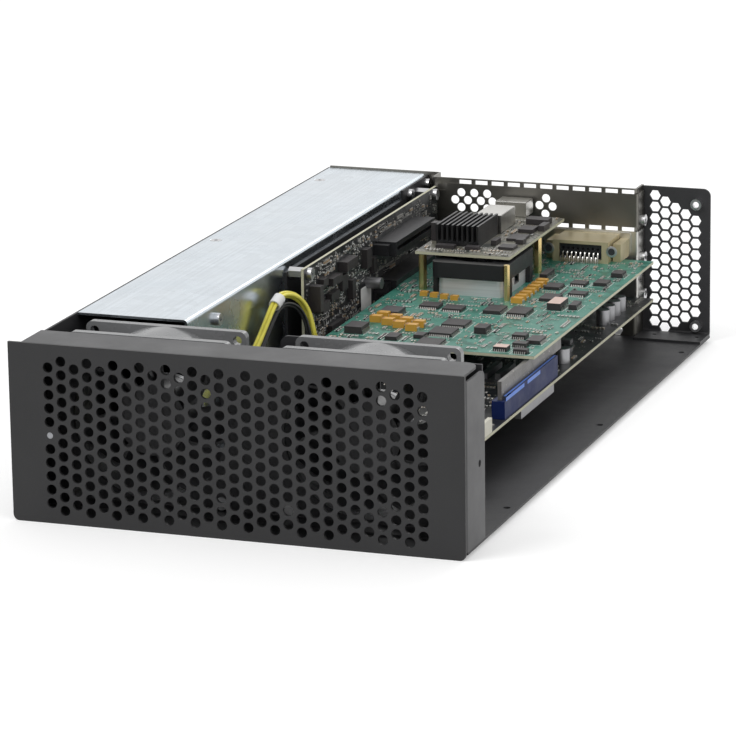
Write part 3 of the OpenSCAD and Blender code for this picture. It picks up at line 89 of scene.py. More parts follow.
class Tree:
    """A material's node tree with short helpers. Noise scales are counted per metre."""

    def __init__(self, name):
        self.mat = bpy.data.materials.new(name)
        self.mat.use_nodes = True
        self.nodes = self.mat.node_tree.nodes
        self.links = self.mat.node_tree.links
        self.bsdf = self.nodes["Principled BSDF"]
        self.coord = None

    def new(self, kind, **props):
        n = self.nodes.new(kind)
        for k, v in props.items():
            setattr(n, k, v)
        return n

    def join(self, a, b):
        self.links.new(a, b)

    def place(self, stretch=(1, 1, 1), turn=(0, 0, 0)):
        if self.coord is None:
            self.coord = self.new("ShaderNodeTexCoord")
        m = self.new("ShaderNodeMapping")
        m.inputs["Scale"].default_value = stretch
        m.inputs["Rotation"].default_value = turn
        self.join(self.coord.outputs["Object"], m.inputs["Vector"])
        return m.outputs["Vector"]

    def noise(self, scale, detail=4, stretch=(1, 1, 1), rough=0.6):
        n = self.new("ShaderNodeTexNoise")
        n.inputs["Scale"].default_value = scale
        n.inputs["Detail"].default_value = detail
        n.inputs["Roughness"].default_value = rough
        self.join(self.place(stretch), n.inputs["Vector"])
        return n.outputs["Fac"]

    def cells(self, scale, out="Distance"):
        n = self.new("ShaderNodeTexVoronoi")
        n.inputs["Scale"].default_value = scale
        self.join(self.place(), n.inputs["Vector"])
        return n.outputs[out]

    def span(self, value, a, b, low, high):
        n = self.new("ShaderNodeMapRange")
        for k, v in zip(("From Min", "From Max", "To Min", "To Max"), (a, b, low, high)):
            n.inputs[k].default_value = v
        self.join(value, n.inputs["Value"])
        return n.outputs["Result"]

    def math(self, op, a, b):
        n = self.new("ShaderNodeMath", operation=op)
        for socket, v in zip(n.inputs, (a, b)):
            if isinstance(v, (int, float)):
                socket.default_value = v
            else:
                self.join(v, socket)
        return n.outputs[0]

    def mix(self, fac, a, b):
        n = self.new("ShaderNodeMix", data_type="RGBA")
        for socket, v in ((n.inputs["Factor"], fac), (n.inputs[MIX_A], a), (n.inputs[MIX_B], b)):
            if isinstance(v, (int, float)):
                socket.default_value = v
            elif isinstance(v, (tuple, list)):
                socket.default_value = (*v, 1)
            else:
                self.join(v, socket)
        return n.outputs[MIX_OUT]

    def bump(self, height, distance, strength=1.0):
        n = self.new("ShaderNodeBump")
        n.inputs["Strength"].default_value = strength
        n.inputs["Distance"].default_value = distance
        self.join(height, n.inputs["Height"])
        return n.outputs["Normal"]

    def finish(self, color=None, rough=None, normal=None, metal=0.0, specular=0.5):
        b = self.bsdf.inputs
        for key, v in (("Base Color", color), ("Roughness", rough), ("Normal", normal)):
            if v is None:
                continue
            if isinstance(v, (int, float)):
                b[key].default_value = v
            elif isinstance(v, tuple):
                b[key].default_value = (*v, 1)
            else:
                self.join(v, b[key])
        b["Metallic"].default_value = metal
        b["Specular IOR Level"].default_value = specular
        return self.mat


def scaled(color, k):
    return tuple(min(1.0, c * k) for c in color)


def powder_coat(name, color, rough=0.5, grain=1500, depth=0.00005, specular=0.35):
    """Textured paint on sheet: fine orange peel, faint cloudiness and rubbed specks."""
    t = Tree(name)
    cloud = t.span(t.noise(14, 3), 0.3, 0.7, 0, 1)
    speck = t.span(t.noise(grain * 1.6, 2), 0.62, 0.75, 0, 0.35)
    base = t.mix(cloud, scaled(color, 0.9), scaled(color, 1.1))
    base = t.mix(speck, base, scaled(color, 1.9))
    peel = t.noise(grain, 3)
    return t.finish(base, t.span(t.noise(40, 4), 0.3, 0.7, rough - 0.06, rough + 0.08),
                    t.bump(peel, depth), specular=specular)


def sheet_metal(name, color, rough=0.3, brush=(6, 900, 6), spangle=0.0, metal=1.0):
    """Bare or plated steel: rolling lines, smudges and, if galvanised, spangles."""
    t = Tree(name)
    lines = t.noise(1, 3, brush)
    smudge = t.noise(22, 4)
    base = t.mix(t.span(lines, 0.35, 0.65, 0, 1), scaled(color, 0.93), scaled(color, 1.05))
    if spangle:
        cell = t.cells(130, out="Color")
        gray = t.new("ShaderNodeRGBToBW")
        t.join(cell, gray.inputs[0])
        base = t.mix(t.span(gray.outputs[0], 0, 1, 0, spangle), base, scaled(color, 0.72))
    return t.finish(base, t.span(smudge, 0.3, 0.7, rough - 0.05, rough + 0.1),
                    t.bump(lines, 0.00002, 0.6), metal=metal)


def moulded(name, color, rough=0.45, grain=2200, depth=0.00003, specular=0.5):
    """Injection-moulded plastic: fine spark texture and slight flow marks."""
    t = Tree(name)
    flow = t.span(t.noise(30, 3, (1, 1, 3)), 0.3, 0.7, 0, 1)
    base = t.mix(flow, scaled(color, 0.9), scaled(color, 1.1))
    return t.finish(base, t.span(t.noise(90, 3), 0.3, 0.7, rough - 0.07, rough + 0.07),
                    t.bump(t.noise(grain, 2), depth), specular=specular)


# Runs of track: scale, direction and width.
TRACK_RUNS = ((105, 0, 0.10), (150, math.radians(90), 0.10), (90, math.radians(45), 0.06))


def circuit_board(name, mask, trace, edge_axis="z", pads=(0.62, 0.60, 0.52), dots=0.115):
    """Solder mask over copper: runs of track, plated via dots and a fibrous bump."""
    t = Tree(name)
    turn = (0, 0, 0) if edge_axis == "z" else (0, math.radians(90), 0)
    tracks = None
    for scale, angle, width in TRACK_RUNS:
        b = t.new("ShaderNodeTexBrick")
        b.offset = 0.37
        b.inputs["Scale"].default_value = scale
        b.inputs["Mortar Size"].default_value = width
        b.inputs["Mortar Smooth"].default_value = 0.1
        b.inputs["Brick Width"].default_value = 1.3
        b.inputs["Row Height"].default_value = 0.22
        t.join(t.place((1, 1, 1), (turn[0], turn[1], angle)), b.inputs["Vector"])
        gate = t.span(t.noise(55 + scale / 3, 1), 0.48, 0.54, 0, 1)
        run = t.math("MULTIPLY", b.outputs["Fac"], gate)
        tracks = run if tracks is None else t.math("MAXIMUM", tracks, run)
    cloud = t.span(t.noise(26, 4), 0.35, 0.65, 0, 1)
    base = t.mix(cloud, scaled(mask, 0.8), scaled(mask, 1.2))
    base = t.mix(t.math("MULTIPLY", tracks, 0.75), base, trace)
    via = t.math("LESS_THAN", t.cells(330), dots)
    near = t.span(t.noise(60, 1), 0.46, 0.52, 0, 1)
    via = t.math("MULTIPLY", via, near)
    base = t.mix(via, base, pads)
    height = t.math("ADD", tracks, t.math("MULTIPLY", t.noise(900, 2), 0.4))
    return t.finish(base, t.span(t.noise(120, 3), 0.3, 0.7, 0.28, 0.42), t.bump(height, 0.00005, 0.8),
                    specular=0.45)


def pvc(name, color):
    """Soft wire sleeve."""
    t = Tree(name)
    base = t.mix(t.span(t.noise(120, 3), 0.3, 0.7, 0, 1), scaled(color, 0.85), scaled(color, 1.08))
    return t.finish(base, 0.38, t.bump(t.noise(700, 2), 0.00004), specular=0.5)


# ---- floor and light: each lamp has its place and size in metres, and its watts ----
FLOOR_HALF = 6.0
FLOOR_GREY = 0.8
FLOOR_GLOW = 0.30
AMBIENT = 0.72
LAMP_AIM = (0, 0, 0.04)
LAMPS = [
    ("key", (-0.9, -1.1, 1.9), 1.2, 15),
    ("fill", (1.6, -0.9, 1.3), 1.4, 4),
    ("rim", (0.2, 1.8, 1.5), 1.2, 9),
]


def pale_floor():
    """Diffuse grey with a little glow for what looks at it, so that it shows nearly white."""
    t = Tree("floor")
    ray = t.new("ShaderNodeLightPath")
    seen = t.math("MAXIMUM", t.math("MAXIMUM", ray.outputs["Is Camera Ray"], ray.outputs["Is Glossy Ray"]),
                  ray.outputs["Is Transmission Ray"])
    diffuse = t.new("ShaderNodeBsdfDiffuse")
    diffuse.inputs["Color"].default_value = (FLOOR_GREY, FLOOR_GREY, FLOOR_GREY, 1)
    glow = t.new("ShaderNodeEmission")
    t.join(t.math("MULTIPLY", seen, FLOOR_GLOW), glow.inputs["Strength"])
    both = t.new("ShaderNodeAddShader")
    t.join(diffuse.outputs[0], both.inputs[0])
    t.join(glow.outputs[0], both.inputs[1])
    t.join(both.outputs[0], t.nodes["Material Output"].inputs["Surface"])
    return t.mat


def make_stage():
    """Floor, an even white world that lights less than it shows, and three soft lamps."""
    half = FLOOR_HALF
    floor = mesh_piece("floor", [(-half, -half, 0), (half, -half, 0), (half, half, 0), (-half, half, 0)],
                       [(0, 1, 2, 3)], pale_floor())
    world = bpy.data.worlds.new("studio")
    world.use_nodes = True
    bpy.context.scene.world = world
    nodes, links = world.node_tree.nodes, world.node_tree.links
    back = nodes["Background"]
    ray = nodes.new("ShaderNodeLightPath")
    seen = nodes.new("ShaderNodeMath")
    seen.operation = "MAXIMUM"
    links.new(ray.outputs["Is Camera Ray"], seen.inputs[0])
    links.new(ray.outputs["Is Glossy Ray"], seen.inputs[1])
    more = nodes.new("ShaderNodeMath")
    more.operation = "MAXIMUM"
    links.new(seen.outputs[0], more.inputs[0])
    links.new(ray.outputs["Is Transmission Ray"], more.inputs[1])
    level = nodes.new("ShaderNodeMapRange")
    level.inputs["To Min"].default_value = AMBIENT
    level.inputs["To Max"].default_value = 1.0
    links.new(more.outputs[0], level.inputs["Value"])
    links.new(level.outputs["Result"], back.inputs["Strength"])
    back.inputs["Color"].default_value = (1, 1, 1, 1)
    for name, where, size, watts in LAMPS:
        data = bpy.data.lights.new(name, "AREA")
        data.shape = "DISK"
        data.size = size
        data.energy = watts
        lamp = bpy.data.objects.new(name, data)
        bpy.context.scene.collection.objects.link(lamp)
        lamp.location = where
        lamp.rotation_euler = (Vector(LAMP_AIM) - Vector(where)).to_track_quat("-Z", "Y").to_euler()


# ---- meshes ----
SHARP_ANGLE = math.radians(38)
PRINT = 0.02


def mesh_piece(name, points, faces, *materials):
    data = bpy.data.meshes.new(name)
    data.from_pydata(points, [], faces)
    data.update()
    ob = bpy.data.objects.new(name, data)
    bpy.context.scene.collection.objects.link(ob)
    for m in materials:
        data.materials.append(m)
    return ob


class Shape:
    """Gathers blocks, rods, ribbons and tubes of several materials into one mesh, in millimetres."""

    def __init__(self, u=(1, 0, 0), v=(0, 1, 0), n=(0, 0, 1), origin=(0, 0, 0)):
        self.points, self.faces, self.slots = [], [], []
        self.turn = Matrix((u, v, n)).transposed()
        self.origin = Vector(origin)

    def add(self, points, faces, slot=0):
        base = len(self.points)
        self.points += [self.origin + self.turn @ Vector(p) for p in points]
        self.faces += [tuple(base + i for i in f) for f in faces]
        self.slots += [slot] * len(faces)

    def rings(self, rings, slot=0):
        """Joins closed rings of equal length into one solid with flat ends."""
        k = len(rings[0])
        faces = [(i * k + j, i * k + (j + 1) % k, (i + 1) * k + (j + 1) % k, (i + 1) * k + j)
                 for i in range(len(rings) - 1) for j in range(k)]
        faces += [tuple(range(k))[::-1], tuple((len(rings) - 1) * k + j for j in range(k))]
        self.add([p for ring in rings for p in ring], faces, slot)

    def block(self, low, high, slot=0, ease=0.0):
        """Box whose upper edges are eased."""
        (x0, y0, z0), (x1, y1, z1) = low, high
        ease = min(ease, (x1 - x0) / 3, (y1 - y0) / 3, (z1 - z0) / 2)
        levels = [(z0, 0), (z1, 0)] if ease <= 0 else [(z0, 0), (z1 - ease, 0), (z1, ease)]
        self.rings([[(x0 + e, y0 + e, z), (x1 - e, y0 + e, z), (x1 - e, y1 - e, z), (x0 + e, y1 - e, z)]
                    for z, e in levels], slot)

    def lathe(self, middle, profile, slot=0, sides=20, axis=2):
        """Turned solid along an axis; profile lists radius and height."""
        a, b = [i for i in range(3) if i != axis]
        rings = []
        for r, h in profile:
            ring = []
            for k in range(sides):
                p = list(middle)
                p[a] += r * math.cos(math.tau * k / sides)
                p[b] += r * math.sin(math.tau * k / sides)
                p[axis] += h
                ring.append(tuple(p))
            rings.append(ring)
        self.rings(rings, slot)

    def ribbon(self, path, side, width, thick, slot=0):
        """Bent strip along a path; side is the direction of its width."""
        side = Vector(side).normalized()
        path = [Vector(p) for p in path]
        rings = []
        for i, p in enumerate(path):
            along = (path[min(i + 1, len(path) - 1)] - path[max(i - 1, 0)]).normalized()
            n = along.cross(side).normalized() * thick / 2
            w = side * width / 2
            rings.append([p + n + w, p + n - w, p - n - w, p - n + w])
        self.rings(rings, slot)

    def tube(self, path, r, slot=0, sides=10):
        """Round wire along a path."""
        path = [Vector(p) for p in path]
        side = Vector((0, 0, 1))
        rings = []
        for i, p in enumerate(path):
            along = (path[min(i + 1, len(path) - 1)] - path[max(i - 1, 0)]).normalized()
            side = (side - side.dot(along) * along).normalized()
            over = along.cross(side)
            angles = [math.tau * k / sides for k in range(sides)]
            rings.append([p + r * (math.cos(t) * side + math.sin(t) * over) for t in angles])
        self.rings(rings, slot)

    def outline(self, x0, y0, x1, y1, z, w):
        """Printed frame of thin lines."""
        for a, b in (((x0, y0), (x1, y0 + w)), ((x0, y1 - w), (x1, y1)), ((x0, y0 + w), (x0 + w, y1 - w)),
                     ((x1 - w, y0 + w), (x1, y1 - w))):
            self.block((*a, z), (*b, z + PRINT))

    def build(self, name, body, slot, *materials):
        """Makes the piece, which rides on a body and takes the given materials; the slot argument is not
        used.
        """
        ob = mesh_piece(name, [at(*p) for p in self.points], self.faces, *materials)
        bm = bmesh.new()
        bm.from_mesh(ob.data)
        bmesh.ops.recalc_face_normals(bm, faces=bm.faces)
        bm.to_mesh(ob.data)
        bm.free()
        ob.data.polygons.foreach_set("material_index", self.slots)
        ob.data.polygons.foreach_set("use_smooth", [True] * len(self.faces))
        ob.data.set_sharp_from_angle(angle=SHARP_ANGLE)
        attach(ob, body)
        return ob


def solids(node):
    """Boxes, in millimetres, of the separate solids in a CAD node."""
    bm = bmesh.new()
    ob = frame["nodes"][node]
    bm.from_mesh(ob.data)
    bmesh.ops.remove_doubles(bm, verts=bm.verts, dist=1e-6)
    seen, boxes = set(), []
    for start in bm.verts:
        if start in seen:
            continue
        seen.add(start)
        stack, group = [start], []
        while stack:
            v = stack.pop()
            group.append(ob.matrix_world @ v.co)
            for e in v.link_edges:
                w = e.other_vert(v)
                if w not in seen:
                    seen.add(w)
                    stack.append(w)
        lo = [min(c[i] for c in group) / MM for i in range(3)]
        hi = [max(c[i] for c in group) / MM for i in range(3)]
        lo[1] += REACH / 2
        hi[1] += REACH / 2
        boxes.append((lo, hi))
    bm.free()
    return boxes


def flat(boxes, a=0, b=1, grow=0.0):
    """Outlines of boxes seen along the third axis."""
    return [(lo[a] - grow, lo[b] - grow, hi[a] + grow, hi[b] + grow) for lo, hi in boxes]


def is_free(rect, taken):
    return all(rect[2] <= t[0] or rect[0] >= t[2] or rect[3] <= t[1] or rect[1] >= t[3] for t in taken)


# Passives: length, width and height, the share and height of each bright end, and how they stand in rows.
SIZES = ((1.7, 0.9, 0.6), (1.1, 0.6, 0.45), (2.2, 1.3, 0.8))
END_SHARE = 0.24
END_HEIGHT = 0.98
PART_EASE = 0.06
ROW_COUNTS = (1, 2, 3, 4, 6)
ROW_GAP = 0.7
ROW_MARGIN = 0.3
BODY_SLOTS = (1, 2, 3)


def passive(shape, x, y, size, lengthways, body):
    """Chip resistor or capacitor on z = 0 with bright ends. Slot 0 is tin, the others are bodies."""
    l, w, h = size
    dx, dy = (l / 2, w / 2) if lengthways else (w / 2, l / 2)
    end = END_SHARE * l
    low = h * END_HEIGHT
    if lengthways:
        shape.block((x - dx + end, y - dy, 0), (x + dx - end, y + dy, h), body, PART_EASE)
        shape.block((x - dx, y - dy, 0), (x - dx + end, y + dy, low), 0, PART_EASE)
        shape.block((x + dx - end, y - dy, 0), (x + dx, y + dy, low), 0, PART_EASE)
    else:
        shape.block((x - dx, y - dy + end, 0), (x + dx, y + dy - end, h), body, PART_EASE)
        shape.block((x - dx, y - dy, 0), (x + dx, y - dy + end, low), 0, PART_EASE)
        shape.block((x - dx, y + dy - end, 0), (x + dx, y + dy, low), 0, PART_EASE)


def scatter(shape, area, taken, tries, seed):
    """Short rows of passives wherever the board is free."""
    rng = random.Random(seed)
    taken = list(taken)
    for _ in range(tries):
        size = rng.choice(SIZES)
        lengthways = rng.random() < 0.5
        count = rng.choice(ROW_COUNTS)
        body = rng.choice(BODY_SLOTS)
        gap = size[1] + ROW_GAP
        along = (count - 1) * gap
        w, d = (size[0], along + size[1]) if lengthways else (along + size[1], size[0])
        x0 = rng.uniform(area[0], max(area[0], area[2] - w))
        y0 = rng.uniform(area[1], max(area[1], area[3] - d))
        spot = (x0 - ROW_MARGIN, y0 - ROW_MARGIN, x0 + w + ROW_MARGIN, y0 + d + ROW_MARGIN)
        if spot[2] > area[2] or spot[3] > area[3] or not is_free(spot, taken):
            continue
        taken.append(spot)
        for k in range(count):
            x = x0 + (size[0] / 2 if lengthways else size[1] / 2 + k * gap)
            y = y0 + (size[1] / 2 + k * gap if lengthways else size[0] / 2)
            passive(shape, x, y, size, lengthways, body)


# Gull-wing leads: spacing, reach, width, thickness, height of the foot's middle,
# and what stays free at a side's ends.
LEAD_PITCH = 1.0
LEAD_OUT = 1.1
LEAD_WIDE = 0.42
LEAD_THICK = 0.16
LEAD_FOOT = 0.09
LEAD_ENDS = 0.9


def leads_on(shape, lo, hi, sides):
    """Gull-wing leads along the left, right, front or back sides that are named by their first letters."""
    top = lo[2] + (hi[2] - lo[2]) * 0.5
    foot = lo[2] + LEAD_FOOT
    steps = ((-0.1, top), (0.3, top), (0.55, foot), (LEAD_OUT, foot))
    for s in sides:
        long_axis = 1 if s in "lr" else 0
        n = int((hi[long_axis] - lo[long_axis] - LEAD_ENDS) / LEAD_PITCH)
        if n < 1:
            continue
        first = (hi[long_axis] + lo[long_axis] - (n - 1) * LEAD_PITCH) / 2
        edge = {"l": lo[0], "r": hi[0], "f": lo[1], "b": hi[1]}[s]
        sign = -1 if s in "lf" else 1
        for k in range(n):
            p = first + k * LEAD_PITCH
            if long_axis == 1:
                path = [(edge + sign * o, p, z) for o, z in steps]
                shape.ribbon(path, (0, 1, 0), LEAD_WIDE, LEAD_THICK)
            else:
                path = [(p, edge + sign * o, z) for o, z in steps]
                shape.ribbon(path, (1, 0, 0), LEAD_WIDE, LEAD_THICK)


make_camera()
make_stage()

MATERIALS = {
    "bezel": powder_coat("bezel_paint", (0.030, 0.030, 0.031), 0.46, specular=0.28),
    "frame_steel": powder_coat("frame_paint", (0.062, 0.062, 0.064), 0.44, depth=0.00002),
    "lamp": moulded("lamp_clear", (0.34, 0.35, 0.37), 0.2),
    "shell": powder_coat("shell_paint", (0.024, 0.024, 0.026), 0.5),
    "rubber": moulded("foot_rubber", (0.02, 0.02, 0.02), 0.8),
    "bare_steel": sheet_metal("bare_steel", (0.19, 0.183, 0.165), 0.36),
    "vent_paint": powder_coat("vent_paint", (0.035, 0.035, 0.037), 0.45),
    "zinc": sheet_metal("zinc_plate", (0.58, 0.58, 0.59), 0.28),
    "fan_plastic": moulded("fan_plastic", (0.18, 0.182, 0.186), 0.26),
    "rotor_plastic": moulded("rotor_plastic", (0.02, 0.02, 0.022), 0.4),
    "galvanised": sheet_metal("galvanised", (0.66, 0.72, 0.77), 0.22, (900, 5, 900), 0.35),
    "psu_steel": sheet_metal("psu_steel", (0.5, 0.51, 0.52), 0.35),
    "black_plastic": moulded("black_plastic", (0.012, 0.012, 0.014), 0.42),
    "black_board": circuit_board("black_board", (0.009, 0.010, 0.012), (0.03, 0.03, 0.03), "x"),
    "green_board": circuit_board("green_board", (0.014, 0.125, 0.088), (0.05, 0.24, 0.18)),
    "olive_board": circuit_board("olive_board", (0.03, 0.035, 0.03), (0.2, 0.19, 0.15)),
    "plated": sheet_metal("tin_plate", (0.60, 0.59, 0.56), 0.26),
    "chip": moulded("chip_package", (0.030, 0.026, 0.027), 0.5),
    "tantalum": moulded("tantalum", (0.62, 0.33, 0.05), 0.35),
    "capacitor": sheet_metal("capacitor_can", (0.34, 0.34, 0.35), 0.38),
    "ivory": moulded("ivory_nylon", (0.6, 0.58, 0.48), 0.4),
    "lead_yellow": pvc("yellow_pvc", (0.78, 0.70, 0.09)),
    "lead_black": pvc("black_pvc", (0.015, 0.015, 0.015)),
    "tie_white": moulded("white_tape", (0.75, 0.75, 0.75), 0.5),
    "gold_shell": sheet_metal("gold_chromate", (0.60, 0.52, 0.33), 0.36, metal=0.55),
    "cooler_grey": sheet_metal("cooler_grey", (0.78, 0.78, 0.8), 0.42, (4, 4, 700), metal=0.7),
    "sink_black": moulded("black_anodised", (0.012, 0.012, 0.013), 0.35),
    "brass": sheet_metal("brass", (0.78, 0.6, 0.28), 0.25),
    # The socket's blue is darkened to the navy of its shaded side face: painted shade.
    "socket_blue": moulded("socket_blue", (0.006, 0.014, 0.075), 0.45, specular=0.2),
    "module_grey": circuit_board("module_grey", (0.10, 0.095, 0.088), (0.13, 0.125, 0.12), "x"),
}
for part in frame["record"]["subparts"]:
    ob = frame["nodes"][part["node"]]
    ob.data.materials.clear()
    ob.data.materials.append(MATERIALS[part["material_slot"]])

# Looks of small things that only the scene adds.
# Light blue of the socket's lit top edge and side strips: painted highlight.
M_SOCKET_HIGHLIGHT = moulded("socket_painted_highlight", (0.07, 0.19, 0.62), 0.35)
M_PINK = moulded("ferrite_pink", (0.62, 0.46, 0.40), 0.45)
M_TAN = moulded("ceramic_tan", (0.36, 0.26, 0.17), 0.4)
# Black of resistor bodies, also used for the painted shade discs in the port's lug bores.
M_DARK = moulded("resistor_black_and_bore_shade", (0.03, 0.03, 0.034), 0.35)
M_GREY = moulded("ceramic_grey", (0.30, 0.29, 0.27), 0.4)
M_WHITE = moulded("print_white", (0.78, 0.78, 0.76), 0.5)
M_DOT = moulded("mark_grey", (0.09, 0.09, 0.09), 0.5)
M_BAND = moulded("tantalum_band", (0.32, 0.13, 0.02), 0.4)
M_EDGE = moulded("laminate_edge", (0.50, 0.49, 0.36), 0.55)


# ---- cards and slot board: upper faces, and areas as x, y, x, y ----
CARD_TOP = 47.52
CARD_AREA = (-25, 182, 84, 390)
LOW_TOP = 27.2
LOW_AREA = (-25, 106, 84, 390)
SMALL_TOP = 68.02
SMALL_AREA = (-14.4, 296, 35.4, 389)
CARD_THICK = 1.6
CARD_RIGHT = 85.03
EDGE_SKIN = 0.05

# Contacts stand in one row along each slot.
CONTACT_COUNT = 56
CONTACT_START = 301.9
CONTACT_PITCH = 1.0
CONTACT_X = (-34.5, -28.6)
CONTACT_WIDE = 0.7
CONTACT_THICK = 0.03

# Chips with sides of this length or more have leads on all four of them.
FOUR_SIDES_FROM = 9
FRAME_MARGIN = 1.5
FRAME_LINE = 0.22
DOT_INSET = 1.3
DOT_PROFILE = ((0.42, -0.02), (0.42, 0.012), (0.3, 0.014))


def is_coil(lo, hi):
    """The tall blocks at the right and one at the front right have a pink top."""
    tall_at_right = hi[2] - lo[2] > 3 and lo[0] > 60
    front_right = hi[1] < 198 and 60 < lo[0] < 72
    return tall_at_right or front_right


def is_cage(lo, hi):
    """The tall block at the small board's back left is a plated cage."""
    return lo[1] > 340 and lo[0] < 3 and hi[2] - lo[2] > 5


def upper_card_details():
    """Leads, bands, print, contacts and passives of the upper card."""
    chips = solids("upper_card_chips")
    caps = solids("upper_card_capacitors")
    cooler = solids("upper_card_fan_frame")
    taken = flat(chips, grow=1.6) + flat(caps, grow=0.7) + flat(cooler, grow=0.5)
    taken += flat(solids("card_spacers"), grow=0.4) + flat(solids("upper_card_port"), grow=0.5)
    taken += flat(solids("upper_card_bracket"), grow=0.3)
    pins, prints = Shape(), Shape()
    for lo, hi in chips:
        w, d = hi[0] - lo[0], hi[1] - lo[1]
        sides = "lrfb" if min(w, d) >= FOUR_SIDES_FROM else ("lr" if d > w else "fb")
        leads_on(pins, lo, hi, sides)
        prints.outline(lo[0] - FRAME_MARGIN, lo[1] - FRAME_MARGIN,
                       hi[0] + FRAME_MARGIN, hi[1] + FRAME_MARGIN, CARD_TOP, FRAME_LINE)
        pins.lathe((lo[0] + DOT_INSET, lo[1] + DOT_INSET, hi[2]), DOT_PROFILE, 1, 12)
    for lo, hi in caps:
        tab_top = lo[2] + (hi[2] - lo[2]) * 0.55
        for x0, x1 in ((lo[0] - 0.35, lo[0] + 0.5), (hi[0] - 0.5, hi[0] + 0.35)):
            pins.block((x0, lo[1] + 0.5, lo[2]), (x1, hi[1] - 0.5, tab_top), 0, 0.1)
        pins.block((lo[0], lo[1] + 0.25, hi[2] - 0.02), (lo[0] + 1.0, hi[1] - 0.25, hi[2] + 0.03), 2)
    tops = Shape()
    for lo, hi in chips:
        if is_coil(lo, hi):
            tops.block((lo[0] + 0.05, lo[1] + 0.05, hi[2]),
                       (hi[0] - 0.05, hi[1] - 0.05, hi[2] + 0.1), 0, 0.05)
    tops.build("upper_card_coils", "upper_card", "ivory", M_PINK)
    pins.build("upper_card_leads", "upper_card", "plated", MATERIALS["plated"], M_DOT, M_BAND)
    small = Shape(origin=(0, 0, CARD_TOP))
    scatter(small, CARD_AREA, taken, 1500, 11)
    shell = Shape()
    for lo, hi in solids("small_board_parts"):
        if is_cage(lo, hi):
            shell.block((lo[0] - 0.1, lo[1] - 0.1, lo[2] + 0.3), (hi[0] + 0.1, hi[1] + 0.1, hi[2] + 0.1),
                        0, 0.3)
    if shell.points:
        shell.build("cage_cover", "upper_card", "plated", MATERIALS["plated"])
    small.build("upper_card_passives", "upper_card", "plated", MATERIALS["plated"], M_TAN, M_DARK, M_GREY)
    occupied = flat(chips) + flat(caps) + flat(cooler)
    rng = random.Random(5)
    for _ in range(70):
        x, y = rng.uniform(*CARD_AREA[0::2]), rng.uniform(*CARD_AREA[1::2])
        if is_free((x - 1, y - 1, x + 2, y + 1), occupied):
            prints.block((x, y, CARD_TOP), (x + rng.uniform(0.8, 2.4), y + 0.25, CARD_TOP + PRINT))
    prints.build("upper_card_print", "upper_card", "plated", M_WHITE)
    edge = Shape()
    contacts(edge, CARD_TOP)
    edge.build("upper_card_contacts", "upper_card", "gold_shell", MATERIALS["gold_shell"])


def contacts(shape, top):
    """Gold fingers on both faces of a card's slot edge."""
    x0, x1 = CONTACT_X
    for j in range(CONTACT_COUNT):
        y = CONTACT_START + j * CONTACT_PITCH
        for z in (top, top - CARD_THICK - CONTACT_THICK):
            shape.block((x0, y, z), (x1, y + CONTACT_WIDE, z + CONTACT_THICK))


# The port's housing on the upper card: its sides, lugs and two rows of pins.
PORT_X = (27.0, 70.0)
PORT_MIDDLE = 48.5
LUG_INSET = 4.2
LUG_Z = CARD_TOP + 6.75
LUG_HEAD = ((3.0, 0), (3.0, -0.25), (2.2, -0.4), (1.9, -0.4))
# A thin dark disc on each lug's front face stands for the shade in its bore: painted shade.
LUG_BORE_SHADE = ((1.9, 0), (1.9, -0.05))
JACK_NUT = ((2.6, 0), (2.6, 5.2), (2.2, 5.6), (1.3, 5.6), (1.3, 3.0))
JACK_ROD = ((1.5, 0), (1.5, 3.4))
PIN_ROW_START = 10.2
PIN_PITCH = 2.4
PIN_ROW_SHIFT = 1.2


def port_details():
    """Screw lugs with a dark disc of painted shade in each bore, jack nuts and bent pins of the upper
    card's port.
    """
    s = Shape()
    for x in (PORT_X[0] + LUG_INSET, PORT_X[1] - LUG_INSET):
        s.lathe((x, 378.0, LUG_Z), LUG_HEAD, 0, 20, 1)
        # Dark disc for the shade inside the lug's bore: painted shade.
        s.lathe((x, 377.6, LUG_Z), LUG_BORE_SHADE, 2, 16, 1)
        s.lathe((x, 401.0, LUG_Z), JACK_NUT, 0, 6, 1)
        s.lathe((x, 399.1 - 3.4, LUG_Z), JACK_ROD, 0, 12, 1)
    for k in range(9):
        for j in range(2):
            x = PORT_MIDDLE - PIN_ROW_START + k * PIN_PITCH + j * PIN_ROW_SHIFT
            s.ribbon([(x, 379.6, CARD_TOP + 3.2 + j * 2.4), (x, 376.8, CARD_TOP + 3.2 + j * 2.4),
                      (x, 376.2, CARD_TOP + 2.4 + j * 2.4), (x, 376.0, CARD_TOP + 0.05)],
                     (1, 0, 0), 0.6, 0.3, 1)
    s.build("port_fittings", "upper_card", "plated", MATERIALS["zinc"], MATERIALS["plated"], M_DARK)


def small_board_details():
    """Passives and the pale cut edge of the small board."""
    parts = solids("small_board_parts") + solids("small_board_heatsink")
    taken = flat(parts, grow=0.6)
    s = Shape(origin=(0, 0, SMALL_TOP))
    scatter(s, SMALL_AREA, taken, 700, 23)
    s.build("small_board_passives", "upper_card", "plated", MATERIALS["plated"], M_TAN, M_DARK, M_GREY)
    rim = Shape()
    rim.block((-15.02, 294.98, 66.5), (36.02, 295.02, 67.95))
    rim.block((35.98, 295, 66.5), (36.03, 390, 67.95))
    rim.build("small_board_edge", "upper_card", "ivory", M_EDGE)


